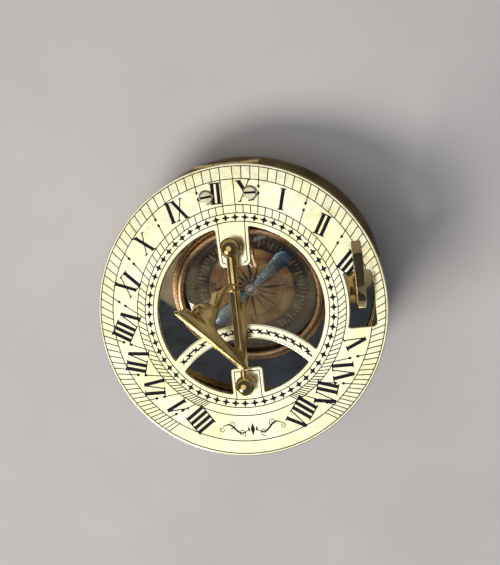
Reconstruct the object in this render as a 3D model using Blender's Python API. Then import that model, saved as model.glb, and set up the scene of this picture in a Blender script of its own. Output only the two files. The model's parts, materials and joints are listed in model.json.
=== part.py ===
"""Brass pocket sundial compass: a round compass box with a hinged hour-ring lid.

The hour ring is hinged to the box on its north side and carries a folding gnomon
between two ball-headed posts.  A latitude arc stands on the deck and passes through
a slot in the ring, so the ring can be propped open at a chosen angle.

World frame: metres, +Z up, +Y north (towards the hinge), +X east.  The origin is the
centre of the underside.  The lid's own frame has its origin on the hinge axis, with
x east, y north and z along the plate's normal.
"""

import math

import bmesh
import bpy
from mathutils import Matrix

MM = 0.001

# Clearances
GAP = 0.3 * MM                # kept between pieces that rest on or face each other
PIN_CLEARANCE = 0.15 * MM     # radial play of a pin in its bore
MOVING_GAP = 0.45 * MM        # kept between pieces that move past each other

# Box
RIM_SETBACK = 2.8 * MM        # in from the hour ring's edge
RIM_HEIGHT = 17.5 * MM
RIM_BEAD = 0.8 * MM           # that the rim stands out from the wall
WALL = 1.7 * MM
FOOT_BEAD = 1.1 * MM          # that the foot stands out from the wall
FOOT_HEIGHT = 2.4 * MM
LEDGE_WIDTH = 1.8 * MM
COVER_THICKNESS = 2.0 * MM
DECK_THICKNESS = 1.6 * MM

# Hinge
HINGE_SETBACK = 1.6 * MM      # from the hinge axis out to the ring's north edge
HINGE_WIDTH = 23.0 * MM
KNUCKLE_RADIUS = 2.4 * MM
MIDDLE_KNUCKLE = 9.0 * MM
HINGE_PIN_RADIUS = 0.9 * MM
LEAF_LENGTH = 14.0 * MM
LEAF_THICKNESS = 1.3 * MM
LEAF_INSET = 0.1 * MM         # leaf face in from the barrel's tangent plane
LID_ANGLE = 23.4              # degrees that the lid stands open

# Hour ring
DIAL_RADIUS = 50.8 * MM
DIAL_THICKNESS = 2.2 * MM
DIAL_EDGE = 0.5 * MM          # rounding of the outer edge
WINDOW_RADIUS = 29.3 * MM
NORTH_TAB_TIP = 15.3 * MM     # from the ring's centre to the tab's end
NORTH_TAB_ROOT_HALF = 5.9 * MM
NORTH_TAB_TIP_HALF = 5.5 * MM
SOUTH_TAB_TIP = 19.9 * MM
SOUTH_TAB_HALF = 5.6 * MM
TAB_CHAMFER = 1.3 * MM
BAND_RADIUS = 31.5 * MM       # middle of the curved cross band
BAND_WIDTH = 5.0 * MM
BAND_CENTRE = 38.7 * MM       # south of the ring's centre
SLOT_INNER_SETBACK = 13.0 * MM  # in from the ring's edge
SLOT_OUTER_SETBACK = 4.4 * MM
SLOT_NORTH = 9.6 * MM
SLOT_SOUTH = 9.4 * MM

# Screws that hold the lid's hinge leaf
LID_SCREW_SPACING = 15.4 * MM
LID_SCREW_SETBACK = 10.7 * MM  # in from the ring's north edge
LID_SCREW_HEAD_RADIUS = 2.55 * MM
LID_SCREW_HEAD_HEIGHT = 0.9 * MM
LID_SCREW_SHANK_RADIUS = 1.2 * MM
LID_NUT_RADIUS = 2.3 * MM
LID_NUT_THICKNESS = 1.0 * MM

# Screws that hold the base hinge leaf to the deck
DECK_SCREW_SPACING = 5.4 * MM
DECK_SCREW_HEAD_RADIUS = 1.9 * MM
DECK_SCREW_HEAD_HEIGHT = 0.8 * MM
DECK_SCREW_SHANK_RADIUS = 0.9 * MM

# Ball posts and gnomon pivots
AXIS_HEIGHT = 6.5 * MM        # gnomon axis above the plate's top face
NORTH_POST = 22.0 * MM        # from the ring's centre
SOUTH_POST = 25.2 * MM
NORTH_BALL_RADIUS = 3.6 * MM
SOUTH_BALL_RADIUS = 3.4 * MM
POST_STEM_RADIUS = 1.5 * MM
POST_COLLAR_RADIUS = 2.4 * MM
POST_COLLAR_HEIGHT = 1.1 * MM
POST_SHANK_RADIUS = 1.1 * MM
POST_NUT_RADIUS = 2.4 * MM
POST_NUT_THICKNESS = 0.6 * MM
ROD_RADIUS = 1.7 * MM
SOUTH_PIN_RADIUS = 1.1 * MM
TRUNNION_RADIUS = 0.7 * MM
TRUNNION_LENGTH = 2.4 * MM

# Gnomon, laid flat: along the axis and across it
GNOMON_NORTH = 7.6 * MM
GNOMON_SOUTH = 19.6 * MM
GNOMON_HEIGHT = 29.0 * MM
GNOMON_THICKNESS = 2.6 * MM
GNOMON_BAR_HALF = 1.5 * MM
STYLE_LATITUDE = 51.5         # degrees between the style edge and the axis
GNOMON_LEAN = 58.7            # degrees up from lying flat to the west

# Latitude arc and its bracket
ARC_SOUTH = 0.3 * MM          # its foot pin, south of the box's centre
ARC_WIDTH = 6.0 * MM
ARC_THICKNESS = 3.0 * MM
ARC_SETBACK = 11.3 * MM       # its foot pin, in from the hour ring's edge
ARC_LEAN = 5.2                # degrees that it leans out from upright
ARC_EDGE = 0.35 * MM          # bevel along its edges
ARC_TOP_ANGLE = 75.2          # degrees above the horizontal through the hinge axis
ARC_FOOT_DROP = 1.55 * MM     # its lowest edge, below the pin
ARC_PIN_HEIGHT = 2.9 * MM     # above the deck
ARC_PIN_RADIUS = 0.8 * MM
LUG_THICKNESS = 1.5 * MM
LUG_HALF_WIDTH = 2.9 * MM
BRACKET_THICKNESS = 0.8 * MM
BRACKET_SCREW_RADIUS = 0.8 * MM

# Compass
BOWL_RADIUS = 27.0 * MM
BOWL_WALL = 1.4 * MM
BOWL_FLOOR = 1.6 * MM
BOWL_LIP_RISE = 0.8 * MM      # above the deck
BOWL_SHELF = 2.6 * MM         # ledge under the card
CARD_CLEARANCE = 0.4 * MM     # round the card and the crystal
CARD_DEPTH = 3.4 * MM         # card's top below the bowl's lip
CARD_THICKNESS = 0.6 * MM
GLASS_THICKNESS = 1.1 * MM
GASKET_THICKNESS = 0.4 * MM
GASKET_WIDTH = 0.7 * MM
BEZEL_FLANGE = 2.3 * MM       # that the bezel stands out from the bowl
BEZEL_LIP = 1.0 * MM
PIVOT_RADIUS = 1.0 * MM
PIVOT_TIP_RADIUS = 0.25 * MM
PIVOT_RISE = 2.1 * MM         # its point above the card
NEEDLE_SETBACK = 4.7 * MM     # needle's tip, in from the card's edge
NEEDLE_WIDTH = 6.2 * MM
NEEDLE_THICKNESS = 0.4 * MM
NEEDLE_RISE = 1.2 * MM        # above the card
NEEDLE_HOLE_RADIUS = 1.5 * MM
NEEDLE_BEARING = 50.0         # degrees clockwise from the hinge side
CAP_RADIUS = 2.3 * MM
CAP_STEM_RADIUS = 1.2 * MM

# Round pieces: sides
COARSE = 20
FINE = 64

# Places that follow from the sizes above
HINGE_Y = DIAL_RADIUS - HINGE_SETBACK
HINGE_Z = RIM_HEIGHT - KNUCKLE_RADIUS
RIM_RADIUS = DIAL_RADIUS - RIM_SETBACK
WALL_RADIUS = RIM_RADIUS - RIM_BEAD
FOOT_RADIUS = WALL_RADIUS + FOOT_BEAD
INNER_RADIUS = WALL_RADIUS - WALL
DECK_TOP = HINGE_Z - KNUCKLE_RADIUS - GAP
DECK_BOTTOM = DECK_TOP - DECK_THICKNESS
PLATE_BOTTOM = KNUCKLE_RADIUS + GAP              # in the lid's frame
PLATE_TOP = PLATE_BOTTOM + DIAL_THICKNESS
DIAL_CENTRE = -HINGE_Y                           # ring's centre, y in the lid's frame
GNOMON_AXIS = PLATE_TOP + AXIS_HEIGHT
LEAF_OUTER = KNUCKLE_RADIUS - LEAF_INSET
LEAF_INNER = LEAF_OUTER - LEAF_THICKNESS
LID_SCREW_Y = HINGE_SETBACK - LID_SCREW_SETBACK  # in the lid's frame
SLOT_INNER_RADIUS = DIAL_RADIUS - SLOT_INNER_SETBACK
SLOT_EAST = DIAL_RADIUS - SLOT_OUTER_SETBACK
CARD_RADIUS = BOWL_RADIUS - BOWL_WALL - CARD_CLEARANCE
GLASS_RADIUS = CARD_RADIUS
BEZEL_RADIUS = BOWL_RADIUS + BEZEL_FLANGE
BEZEL_LIP_RADIUS = GLASS_RADIUS - GASKET_WIDTH
NEEDLE_LENGTH = 2.0 * (CARD_RADIUS - NEEDLE_SETBACK)
BOWL_LIP_HEIGHT = DECK_TOP + BOWL_LIP_RISE
CARD_HEIGHT = BOWL_LIP_HEIGHT - CARD_DEPTH
PIVOT_TIP_HEIGHT = CARD_HEIGHT + PIVOT_RISE
NEEDLE_HEIGHT = CARD_HEIGHT + NEEDLE_RISE
BEZEL_BOTTOM = DECK_TOP + GAP
GLASS_BOTTOM = BOWL_LIP_HEIGHT + GAP
GLASS_TOP = GLASS_BOTTOM + GLASS_THICKNESS
GASKET_TOP = GLASS_TOP + GAP + GASKET_THICKNESS
BEZEL_LIP_BOTTOM = GASKET_TOP + GAP
BEZEL_TOP = BEZEL_LIP_BOTTOM + BEZEL_LIP
ARC_RADIUS = HINGE_Y + ARC_SOUTH  # middle of its band, about the hinge axis
ARC_EAST = DIAL_RADIUS - ARC_SETBACK
ARC_PIN_Y = HINGE_Y - ARC_RADIUS
ARC_PIN_Z = DECK_TOP + ARC_PIN_HEIGHT
ARC_FOOT_ANGLE = math.degrees(math.asin((ARC_FOOT_DROP + HINGE_Z - ARC_PIN_Z)
                                        / (ARC_RADIUS + ARC_WIDTH / 2)))
STYLE_TAN = math.tan(math.radians(STYLE_LATITUDE))


# ---------------------------------------------------------------- helpers

def clear_scene():
    """Remove every object from the scene."""
    for item in list(bpy.data.objects):
        bpy.data.objects.remove(item, do_unlink=True)


def material(name, colour, roughness, metallic):
    """Return a Principled material of that name, made once."""
    found = bpy.data.materials.get(name)
    if found:
        return found
    made = bpy.data.materials.new(name)
    made.use_nodes = True
    shader = made.node_tree.nodes["Principled BSDF"]
    shader.inputs["Base Color"].default_value = (*colour, 1.0)
    shader.inputs["Roughness"].default_value = roughness
    shader.inputs["Metallic"].default_value = metallic
    return made


def pale_brass():
    return material("polished_brass", (0.83, 0.76, 0.50), 0.18, 1.0)


def gold_brass():
    return material("golden_brass", (0.72, 0.50, 0.20), 0.24, 1.0)


def steel():
    return material("steel", (0.55, 0.56, 0.58), 0.3, 1.0)


def empty(name, location, turn=(0.0, 0.0, 0.0), parent=None):
    """Add an empty that stands on a joint's axis."""
    item = bpy.data.objects.new(name, None)
    bpy.context.collection.objects.link(item)
    item.location = location
    item.rotation_euler = turn
    item.parent = parent
    return item


def add_object(name, bm, finish, parent=None, location=(0.0, 0.0, 0.0)):
    """Turn a bmesh into a smooth-shaded object with its faces pointing out."""
    bmesh.ops.recalc_face_normals(bm, faces=bm.faces)
    mesh = bpy.data.meshes.new(name)
    bm.to_mesh(mesh)
    bm.free()
    mesh.shade_smooth()
    mesh.set_sharp_from_angle(angle=math.radians(35.0))
    item = bpy.data.objects.new(name, mesh)
    bpy.context.collection.objects.link(item)
    item.parent = parent
    item.location = location
    item.data.materials.append(finish)
    return item


def cut(item, cutter):
    """Subtract a cutter from an object and hide the cutter."""
    cutter.hide_render = True
    cutter.display_type = "WIRE"
    step = item.modifiers.new("cut_" + cutter.name, "BOOLEAN")
    step.operation = "DIFFERENCE"
    step.solver = "EXACT"
    step.object = cutter


def arc_points(centre, radius, start, end, steps):
    """Points of an arc from start to end, in degrees, both ends included."""
    points = []
    for i in range(steps + 1):
        angle = math.radians(start + (end - start) * i / steps)
        points.append((centre[0] + radius * math.cos(angle), centre[1] + radius * math.sin(angle)))
    return points


def prism(outline, low, high):
    """Extrude an outline in XY from low to high."""
    bm = bmesh.new()
    verts = [bm.verts.new((x, y, low)) for x, y in outline]
    face = bm.faces.new(verts)
    raised = bmesh.ops.extrude_face_region(bm, geom=[face])
    moved = [v for v in raised["geom"] if isinstance(v, bmesh.types.BMVert)]
    bmesh.ops.translate(bm, vec=(0.0, 0.0, high - low), verts=moved)
    return bm


def side_prism(outline, half):
    """Extrude an outline drawn in (y, z) to half on either side of x = 0."""
    bm = prism(outline, -half, half)
    swap = Matrix(((0, 0, 1, 0), (1, 0, 0, 0), (0, 1, 0, 0), (0, 0, 0, 1)))
    bmesh.ops.transform(bm, matrix=swap, verts=bm.verts)
    return bm


def lathe(profile, sides, closed=True):
    """Spin a profile of (radius, height) points about Z into a solid.

    A closed profile is a ring's section; an open one starts and ends on the axis.
    """
    bm = bmesh.new()
    verts = [bm.verts.new((r, 0.0, z)) for r, z in profile]
    pairs = list(zip(verts, verts[1:]))
    if closed:
        pairs.append((verts[-1], verts[0]))
    edges = [bm.edges.new(pair) for pair in pairs]
    bmesh.ops.spin(bm, geom=verts + edges, cent=(0, 0, 0), axis=(0, 0, 1),
                   angle=math.tau, steps=sides, use_merge=True, use_duplicate=False)
    bmesh.ops.remove_doubles(bm, verts=bm.verts, dist=1e-6)
    return bm


def ring(inner, outer, low, high, sides):
    """A plain ring of rectangular section."""
    return lathe([(inner, low), (outer, low), (outer, high), (inner, high)], sides)


def rod(radius, low, high, sides):
    """A plain round rod along Z."""
    return lathe([(0.0, low), (radius, low), (radius, high), (0.0, high)], sides, closed=False)


def box(low, high):
    """A box between two corners."""
    outline = [(low[0], low[1]), (high[0], low[1]), (high[0], high[1]), (low[0], high[1])]
    return prism(outline, low[2], high[2])


def turned(bm, axis, degrees):
    """Turn a bmesh about a main axis through the origin."""
    matrix = Matrix.Rotation(math.radians(degrees), 4, axis)
    bmesh.ops.transform(bm, matrix=matrix, verts=bm.verts)
    return bm


def drill(item, name, spot, radius, low, high, parent=None, sides=COARSE):
    """Drill a vertical hole through an object at (x, y)."""
    cutter = add_object(name, rod(radius, low, high, sides), steel(), parent,
                        (spot[0], spot[1], 0.0))
    cut(item, cutter)


def circle_meet(radius, other_centre_y, other_radius):
    """Angle on a circle about the origin where it meets a circle centred on the Y axis."""
    reach = (radius ** 2 + other_centre_y ** 2 - other_radius ** 2) / (2.0 * radius * other_centre_y)
    return math.degrees(math.asin(reach))


def screw(name, spot, head_radius, head_height, shank_radius, seat, depth, parent=None):
    """A slotted screw: its head's underside is at seat and its end at depth."""
    crown = head_radius * 0.72
    profile = [(0.0, depth), (shank_radius, depth), (shank_radius, seat), (head_radius, seat),
               (head_radius, seat + head_height * 0.45), (crown, seat + head_height * 0.9),
               (0.0, seat + head_height)]
    item = add_object(name, lathe(profile, COARSE, closed=False), pale_brass(), parent,
                      (spot[0], spot[1], 0.0))
    half_slot = head_radius * 0.15
    slot = box((-head_radius * 1.2, -half_slot, seat + head_height * 0.4),
               (head_radius * 1.2, half_slot, seat + head_height * 1.5))
    cutter = add_object(name + "_slot", slot, steel(), item)
    cut(item, cutter)
    return item


# ---------------------------------------------------------------- box

def make_housing():
    """Turned outer wall with a foot, a rim bead and inner ledges, notched for the hinge."""
    ledge_radius = INNER_RADIUS - LEDGE_WIDTH
    shoulder = COVER_THICKNESS + GAP
    ledge = DECK_BOTTOM - GAP
    bead = RIM_HEIGHT - 2.6 * MM
    profile = [
        (INNER_RADIUS, 0.0), (FOOT_RADIUS - 0.4 * MM, 0.0), (FOOT_RADIUS, 0.4 * MM),
        (FOOT_RADIUS, FOOT_HEIGHT - 0.4 * MM), (WALL_RADIUS, FOOT_HEIGHT + 0.4 * MM),
        (WALL_RADIUS, bead - 0.4 * MM), (RIM_RADIUS, bead + 0.3 * MM),
        (RIM_RADIUS, RIM_HEIGHT - 0.5 * MM), (RIM_RADIUS - 0.5 * MM, RIM_HEIGHT),
        (INNER_RADIUS, RIM_HEIGHT), (INNER_RADIUS, ledge), (ledge_radius, ledge),
        (ledge_radius, ledge - 1.2 * MM), (INNER_RADIUS, ledge - 1.2 * MM - LEDGE_WIDTH),
        (INNER_RADIUS, shoulder + 1.0 * MM + LEDGE_WIDTH), (ledge_radius, shoulder + 1.0 * MM),
        (ledge_radius, shoulder), (INNER_RADIUS, shoulder),
    ]
    item = add_object("base_housing", lathe(profile, FINE), gold_brass())
    half = HINGE_WIDTH / 2 + MOVING_GAP
    notch = box((-half, INNER_RADIUS * 0.8, DECK_TOP), (half, FOOT_RADIUS * 1.2, RIM_HEIGHT * 1.3))
    cut(item, add_object("hinge_notch", notch, steel()))


def make_bottom_cover():
    """Disc that closes the underside of the box."""
    radius = INNER_RADIUS - GAP
    bm = rod(radius, 0.0, COVER_THICKNESS, FINE)
    add_object("bottom_cover", bm, gold_brass())


def make_deck():
    """Polished deck around the compass, drilled for the hinge and bracket screws."""
    bm = ring(BOWL_RADIUS + GAP, INNER_RADIUS - GAP, DECK_BOTTOM, DECK_TOP, FINE)
    item = add_object("deck_plate", bm, gold_brass())
    low = DECK_BOTTOM - 2.0 * MM
    high = DECK_TOP + 2.0 * MM
    for side, spot in zip(("west", "east"), deck_screw_spots()):
        drill(item, "deck_hole_" + side, spot, DECK_SCREW_SHANK_RADIUS + GAP, low, high)
    for side, spot in zip(("west", "east"), bracket_screw_spots()):
        drill(item, "bracket_hole_" + side, spot, BRACKET_SCREW_RADIUS + GAP, low, high)


# ---------------------------------------------------------------- compass

def make_bowl():
    """Cup that holds the compass, with a shelf under the card and a lip under the glass."""
    low = COVER_THICKNESS + GAP
    cavity = BOWL_RADIUS - BOWL_WALL
    shelf = CARD_HEIGHT - CARD_THICKNESS - GAP
    profile = [
        (0.0, low), (BOWL_RADIUS, low), (BOWL_RADIUS, BOWL_LIP_HEIGHT), (cavity, BOWL_LIP_HEIGHT),
        (cavity, shelf), (cavity - BOWL_SHELF, shelf), (cavity - BOWL_SHELF, low + BOWL_FLOOR),
        (0.0, low + BOWL_FLOOR),
    ]
    add_object("compass_bowl", lathe(profile, FINE, closed=False), gold_brass())


def make_card():
    """Printed compass card, a thin disc with a hole for the pivot."""
    bm = ring(PIVOT_RADIUS + GAP, CARD_RADIUS, CARD_HEIGHT - CARD_THICKNESS, CARD_HEIGHT, FINE)
    add_object("compass_card", bm, material("card", (0.47, 0.27, 0.13), 0.45, 0.3))


def make_pivot():
    """Upright steel pin with a fine point, which carries the needle."""
    low = COVER_THICKNESS + GAP + BOWL_FLOOR + GAP
    profile = [(0.0, low), (PIVOT_RADIUS * 2.2, low), (PIVOT_RADIUS * 2.2, low + 1.0 * MM),
               (PIVOT_RADIUS, low + 1.6 * MM), (PIVOT_RADIUS, CARD_HEIGHT),
               (PIVOT_TIP_RADIUS, CARD_HEIGHT + 1.0 * MM), (PIVOT_TIP_RADIUS, PIVOT_TIP_HEIGHT - 0.3 * MM),
               (0.0, PIVOT_TIP_HEIGHT)]
    add_object("needle_pivot", lathe(profile, COARSE, closed=False), steel())


def make_glass():
    """Flat crystal over the compass."""
    bm = rod(GLASS_RADIUS, GLASS_BOTTOM, GLASS_TOP, FINE)
    add_object("compass_glass", bm, material("glass", (0.9, 0.95, 0.95), 0.03, 0.0))


def make_gasket():
    """Split ring between the crystal and the bezel's lip."""
    bm = ring(GLASS_RADIUS - GASKET_WIDTH, GLASS_RADIUS, GLASS_TOP + GAP, GASKET_TOP, FINE)
    add_object("glass_gasket", bm, material("gasket", (0.05, 0.05, 0.05), 0.7, 0.0))


def make_bezel():
    """Stepped turned bezel that covers the bowl's lip and traps the crystal."""
    seat = BOWL_RADIUS + GAP
    recess = GLASS_RADIUS + GAP
    shelf = BOWL_LIP_HEIGHT + GAP
    step = (BEZEL_TOP - BEZEL_BOTTOM) / 4.0
    profile = [
        (seat, BEZEL_BOTTOM), (BEZEL_RADIUS, BEZEL_BOTTOM), (BEZEL_RADIUS, BEZEL_BOTTOM + step),
        (BEZEL_RADIUS - 0.6 * MM, BEZEL_BOTTOM + step * 1.3),
        (BEZEL_RADIUS - 0.9 * MM, BEZEL_BOTTOM + step * 1.3),
        (BEZEL_RADIUS - 1.1 * MM, BEZEL_BOTTOM + step * 2.6),
        (BEZEL_RADIUS - 2.0 * MM, BEZEL_BOTTOM + step * 3.6),
        (BEZEL_RADIUS - 3.0 * MM, BEZEL_TOP), (BEZEL_LIP_RADIUS + 0.5 * MM, BEZEL_TOP),
        (BEZEL_LIP_RADIUS, BEZEL_TOP - 0.5 * MM), (BEZEL_LIP_RADIUS, BEZEL_LIP_BOTTOM),
        (recess, BEZEL_LIP_BOTTOM), (recess, shelf), (seat, shelf),
    ]
    add_object("compass_bezel", lathe(profile, FINE), gold_brass())


def needle_outline():
    """Lozenge needle, widest a third of the way out and cut square at its ends."""
    tip = NEEDLE_LENGTH / 2
    wide = NEEDLE_WIDTH / 2
    neck = NEEDLE_HOLE_RADIUS + 0.7 * MM
    east = [(neck, 0.0), (neck, tip * 0.12), (wide, tip * 0.62), (wide * 0.35, tip * 0.95), (0.0, tip)]
    north = east + [(-x, y) for x, y in reversed(east[1:-1])]
    return north + [(-x, -y) for x, y in north]


def make_needle(parent):
    """Flat magnetised needle with a centre hole."""
    bm = prism(needle_outline(), 0.0, NEEDLE_THICKNESS)
    finish = material("blued_steel", (0.12, 0.17, 0.30), 0.25, 1.0)
    item = add_object("compass_needle", bm, finish, parent)
    drill(item, "needle_hole", (0.0, 0.0), NEEDLE_HOLE_RADIUS, -1.0 * MM, 1.0 * MM, parent)


def make_needle_cap(parent):
    """Bearing cap: its stem passes the needle's hole and its cup rides on the pivot."""
    flange = NEEDLE_THICKNESS + GAP
    top = flange + 1.2 * MM
    cup = PIVOT_TIP_RADIUS + GAP
    roof = PIVOT_TIP_HEIGHT - NEEDLE_HEIGHT + 0.15 * MM
    profile = [(0.0, roof), (cup, roof - 0.2 * MM), (cup, -0.1 * MM), (CAP_STEM_RADIUS, -0.1 * MM),
               (CAP_STEM_RADIUS, flange), (CAP_RADIUS, flange), (CAP_RADIUS, flange + 0.5 * MM),
               (CAP_RADIUS * 0.6, top), (0.0, top)]
    add_object("needle_cap", lathe(profile, COARSE, closed=False), pale_brass(), parent)


# ---------------------------------------------------------------- hinge

def leaf_section(side):
    """Section of a hinge leaf and its barrel in (y, z); side is -1 below the axis, +1 above."""
    near = math.degrees(math.asin(LEAF_INNER / KNUCKLE_RADIUS))
    far = math.degrees(math.asin(LEAF_OUTER / KNUCKLE_RADIUS))
    arc = arc_points((0.0, 0.0), KNUCKLE_RADIUS, -180.0 + far, 180.0 + near, COARSE)
    outline = [(-LEAF_LENGTH, -LEAF_OUTER)] + arc + [(-LEAF_LENGTH, -LEAF_INNER)]
    return [(y, -side * z) for y, z in outline]


def hinge_leaf(name, side, parent, finish):
    """Leaf with its knuckles along the X axis, cut for the other leaf's knuckles and the pin."""
    bm = side_prism(leaf_section(side), HINGE_WIDTH / 2)
    item = add_object(name, bm, finish, parent)
    reach = KNUCKLE_RADIUS + MOVING_GAP
    middle = MIDDLE_KNUCKLE / 2
    if side < 0:
        spans = [(-middle - GAP, middle + GAP)]
    else:
        spans = [(-HINGE_WIDTH, -middle), (middle, HINGE_WIDTH)]
    for i, (low, high) in enumerate(spans):
        cutter = add_object(f"{name}_knuckle_cut_{i}", turned(rod(reach, low, high, COARSE), "Y", 90.0),
                            steel(), parent)
        cut(item, cutter)
    bore = turned(rod(HINGE_PIN_RADIUS + PIN_CLEARANCE, -HINGE_WIDTH, HINGE_WIDTH, COARSE), "Y", 90.0)
    cut(item, add_object(name + "_bore", bore, steel(), parent))
    return item


def lid_screw_spots():
    """Lid screws in the lid's frame."""
    half = LID_SCREW_SPACING / 2
    return [(-half, LID_SCREW_Y), (half, LID_SCREW_Y)]


def deck_screw_spots():
    """Base-leaf screws in the world frame."""
    half = DECK_SCREW_SPACING / 2
    return [(-half, HINGE_Y + LID_SCREW_Y), (half, HINGE_Y + LID_SCREW_Y)]


def make_base_leaf():
    """Base leaf on the deck, its two screws and the hinge pin."""
    axis = empty("base_hinge_place", (0.0, HINGE_Y, HINGE_Z))
    item = hinge_leaf("hinge_base_leaf", -1, axis, gold_brass())
    for side, (x, y) in zip(("west", "east"), deck_screw_spots()):
        drill(item, "leaf_hole_" + side, (x, y - HINGE_Y), DECK_SCREW_SHANK_RADIUS + GAP,
              -LEAF_OUTER - 1.0 * MM, -LEAF_INNER + 1.0 * MM, axis)
        screw("deck_screw_" + side, (x, y), DECK_SCREW_HEAD_RADIUS, DECK_SCREW_HEAD_HEIGHT,
              DECK_SCREW_SHANK_RADIUS, HINGE_Z - LEAF_INNER + GAP, DECK_BOTTOM - 0.5 * MM)
    pin = turned(rod(HINGE_PIN_RADIUS, -HINGE_WIDTH / 2, HINGE_WIDTH / 2, COARSE), "Y", 90.0)
    add_object("hinge_pin", pin, steel(), axis)


def make_lid_leaf(lid):
    """Lid leaf under the ring, with its two slotted screws and their nuts."""
    item = hinge_leaf("hinge_lid_leaf", 1, lid, gold_brass())
    seat = PLATE_TOP + GAP
    nut_top = LEAF_INNER - GAP
    for side, spot in zip(("west", "east"), lid_screw_spots()):
        drill(item, "lid_leaf_hole_" + side, spot, LID_SCREW_SHANK_RADIUS + GAP,
              LEAF_INNER - 1.0 * MM, LEAF_OUTER + 1.0 * MM, lid)
        screw("hinge_screw_" + side, spot, LID_SCREW_HEAD_RADIUS, LID_SCREW_HEAD_HEIGHT,
              LID_SCREW_SHANK_RADIUS, seat, nut_top - LID_NUT_THICKNESS, lid)
        nut = ring(LID_SCREW_SHANK_RADIUS + GAP, LID_NUT_RADIUS, nut_top - LID_NUT_THICKNESS, nut_top, 6)
        add_object("hinge_nut_" + side, nut, pale_brass(), lid, (spot[0], spot[1], 0.0))


# ---------------------------------------------------------------- hour ring

def upper_window_outline():
    """Window between the ring, the north tab and the cross band, about the ring's centre."""
    outer = BAND_RADIUS + BAND_WIDTH / 2
    meet = circle_meet(WINDOW_RADIUS, -BAND_CENTRE, outer)
    root = math.degrees(math.acos(NORTH_TAB_ROOT_HALF / WINDOW_RADIUS))
    east = arc_points((0.0, 0.0), WINDOW_RADIUS, meet, root, 24)
    tab = [(NORTH_TAB_TIP_HALF, NORTH_TAB_TIP + TAB_CHAMFER),
           (NORTH_TAB_TIP_HALF - TAB_CHAMFER, NORTH_TAB_TIP)]
    corner = east[0]
    start = math.degrees(math.atan2(corner[1] + BAND_CENTRE, corner[0]))
    band = arc_points((0.0, -BAND_CENTRE), outer, start, 90.0, 14)
    half = list(reversed(band))[:-1] + east + tab
    return half + [(-x, y) for x, y in reversed(half[1:])]


def lower_window_outline():
    """Lens between the cross band, the ring and the south tab, about the ring's centre."""
    inner = BAND_RADIUS - BAND_WIDTH / 2
    meet = circle_meet(WINDOW_RADIUS, -BAND_CENTRE, inner)
    root = -math.degrees(math.acos(SOUTH_TAB_HALF / WINDOW_RADIUS))
    east = arc_points((0.0, 0.0), WINDOW_RADIUS, meet, root, 14)
    tab = [(SOUTH_TAB_HALF, -SOUTH_TAB_TIP - TAB_CHAMFER / 2),
           (SOUTH_TAB_HALF - TAB_CHAMFER / 2, -SOUTH_TAB_TIP)]
    corner = east[0]
    start = math.degrees(math.atan2(corner[1] + BAND_CENTRE, corner[0]))
    band = arc_points((0.0, -BAND_CENTRE), inner, start, 90.0, 14)
    half = list(reversed(band))[:-1] + east + tab
    return half + [(-x, y) for x, y in reversed(half[1:])]


def slot_outline():
    """Slot for the latitude arc: curved on its inner side and straight on its outer side."""
    north = math.degrees(math.asin(SLOT_NORTH / SLOT_INNER_RADIUS))
    south = -math.degrees(math.asin(SLOT_SOUTH / SLOT_INNER_RADIUS))
    inner = arc_points((0.0, 0.0), SLOT_INNER_RADIUS, north, south, 10)
    return inner + [(SLOT_EAST, -SLOT_SOUTH), (SLOT_EAST, SLOT_NORTH)]


def make_dial(lid):
    """Hour ring with its tabs, cross band and slot, drilled for the screws and posts."""
    bm = rod(DIAL_RADIUS, PLATE_BOTTOM, PLATE_TOP, FINE)
    rims = [e for e in bm.edges if all(v.co.xy.length > DIAL_RADIUS * 0.99 for v in e.verts)
            and abs(e.verts[0].co.z - e.verts[1].co.z) < 1e-6]
    bmesh.ops.bevel(bm, geom=rims, offset=DIAL_EDGE, segments=2, profile=0.5, affect="EDGES",
                    material=-1)
    item = add_object("dial_plate", bm, pale_brass(), lid, (0.0, DIAL_CENTRE, 0.0))
    low = PLATE_BOTTOM - 2.0 * MM
    high = PLATE_TOP + 2.0 * MM
    outlines = {"upper_window": upper_window_outline(), "lower_window": lower_window_outline(),
                "arc_slot": slot_outline()}
    for name, outline in outlines.items():
        cut(item, add_object(name, prism(outline, low, high), steel(), item))
    for side, (x, y) in zip(("west", "east"), lid_screw_spots()):
        drill(item, "plate_hole_" + side, (x, y - DIAL_CENTRE), LID_SCREW_SHANK_RADIUS + GAP,
              low, high, item)
    for side, y in (("north", NORTH_POST), ("south", -SOUTH_POST)):
        drill(item, "post_hole_" + side, (0.0, y), POST_SHANK_RADIUS + GAP, low, high, item)


# ---------------------------------------------------------------- posts and gnomon

def post_profile(ball_radius):
    """Profile of a ball post, from its shank's end up to the crown of the ball."""
    foot = PLATE_TOP + GAP
    neck = math.degrees(math.asin(POST_STEM_RADIUS / ball_radius))
    ball = arc_points((0.0, GNOMON_AXIS), ball_radius, -90.0 + neck, 90.0, 10)
    return [(0.0, PLATE_BOTTOM - GAP - POST_NUT_THICKNESS),
            (POST_SHANK_RADIUS, PLATE_BOTTOM - GAP - POST_NUT_THICKNESS), (POST_SHANK_RADIUS, foot),
            (POST_COLLAR_RADIUS, foot), (POST_COLLAR_RADIUS, foot + POST_COLLAR_HEIGHT * 0.7),
            (POST_STEM_RADIUS, foot + POST_COLLAR_HEIGHT)] + ball[:-1] + [(0.0, GNOMON_AXIS + ball_radius)]


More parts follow.
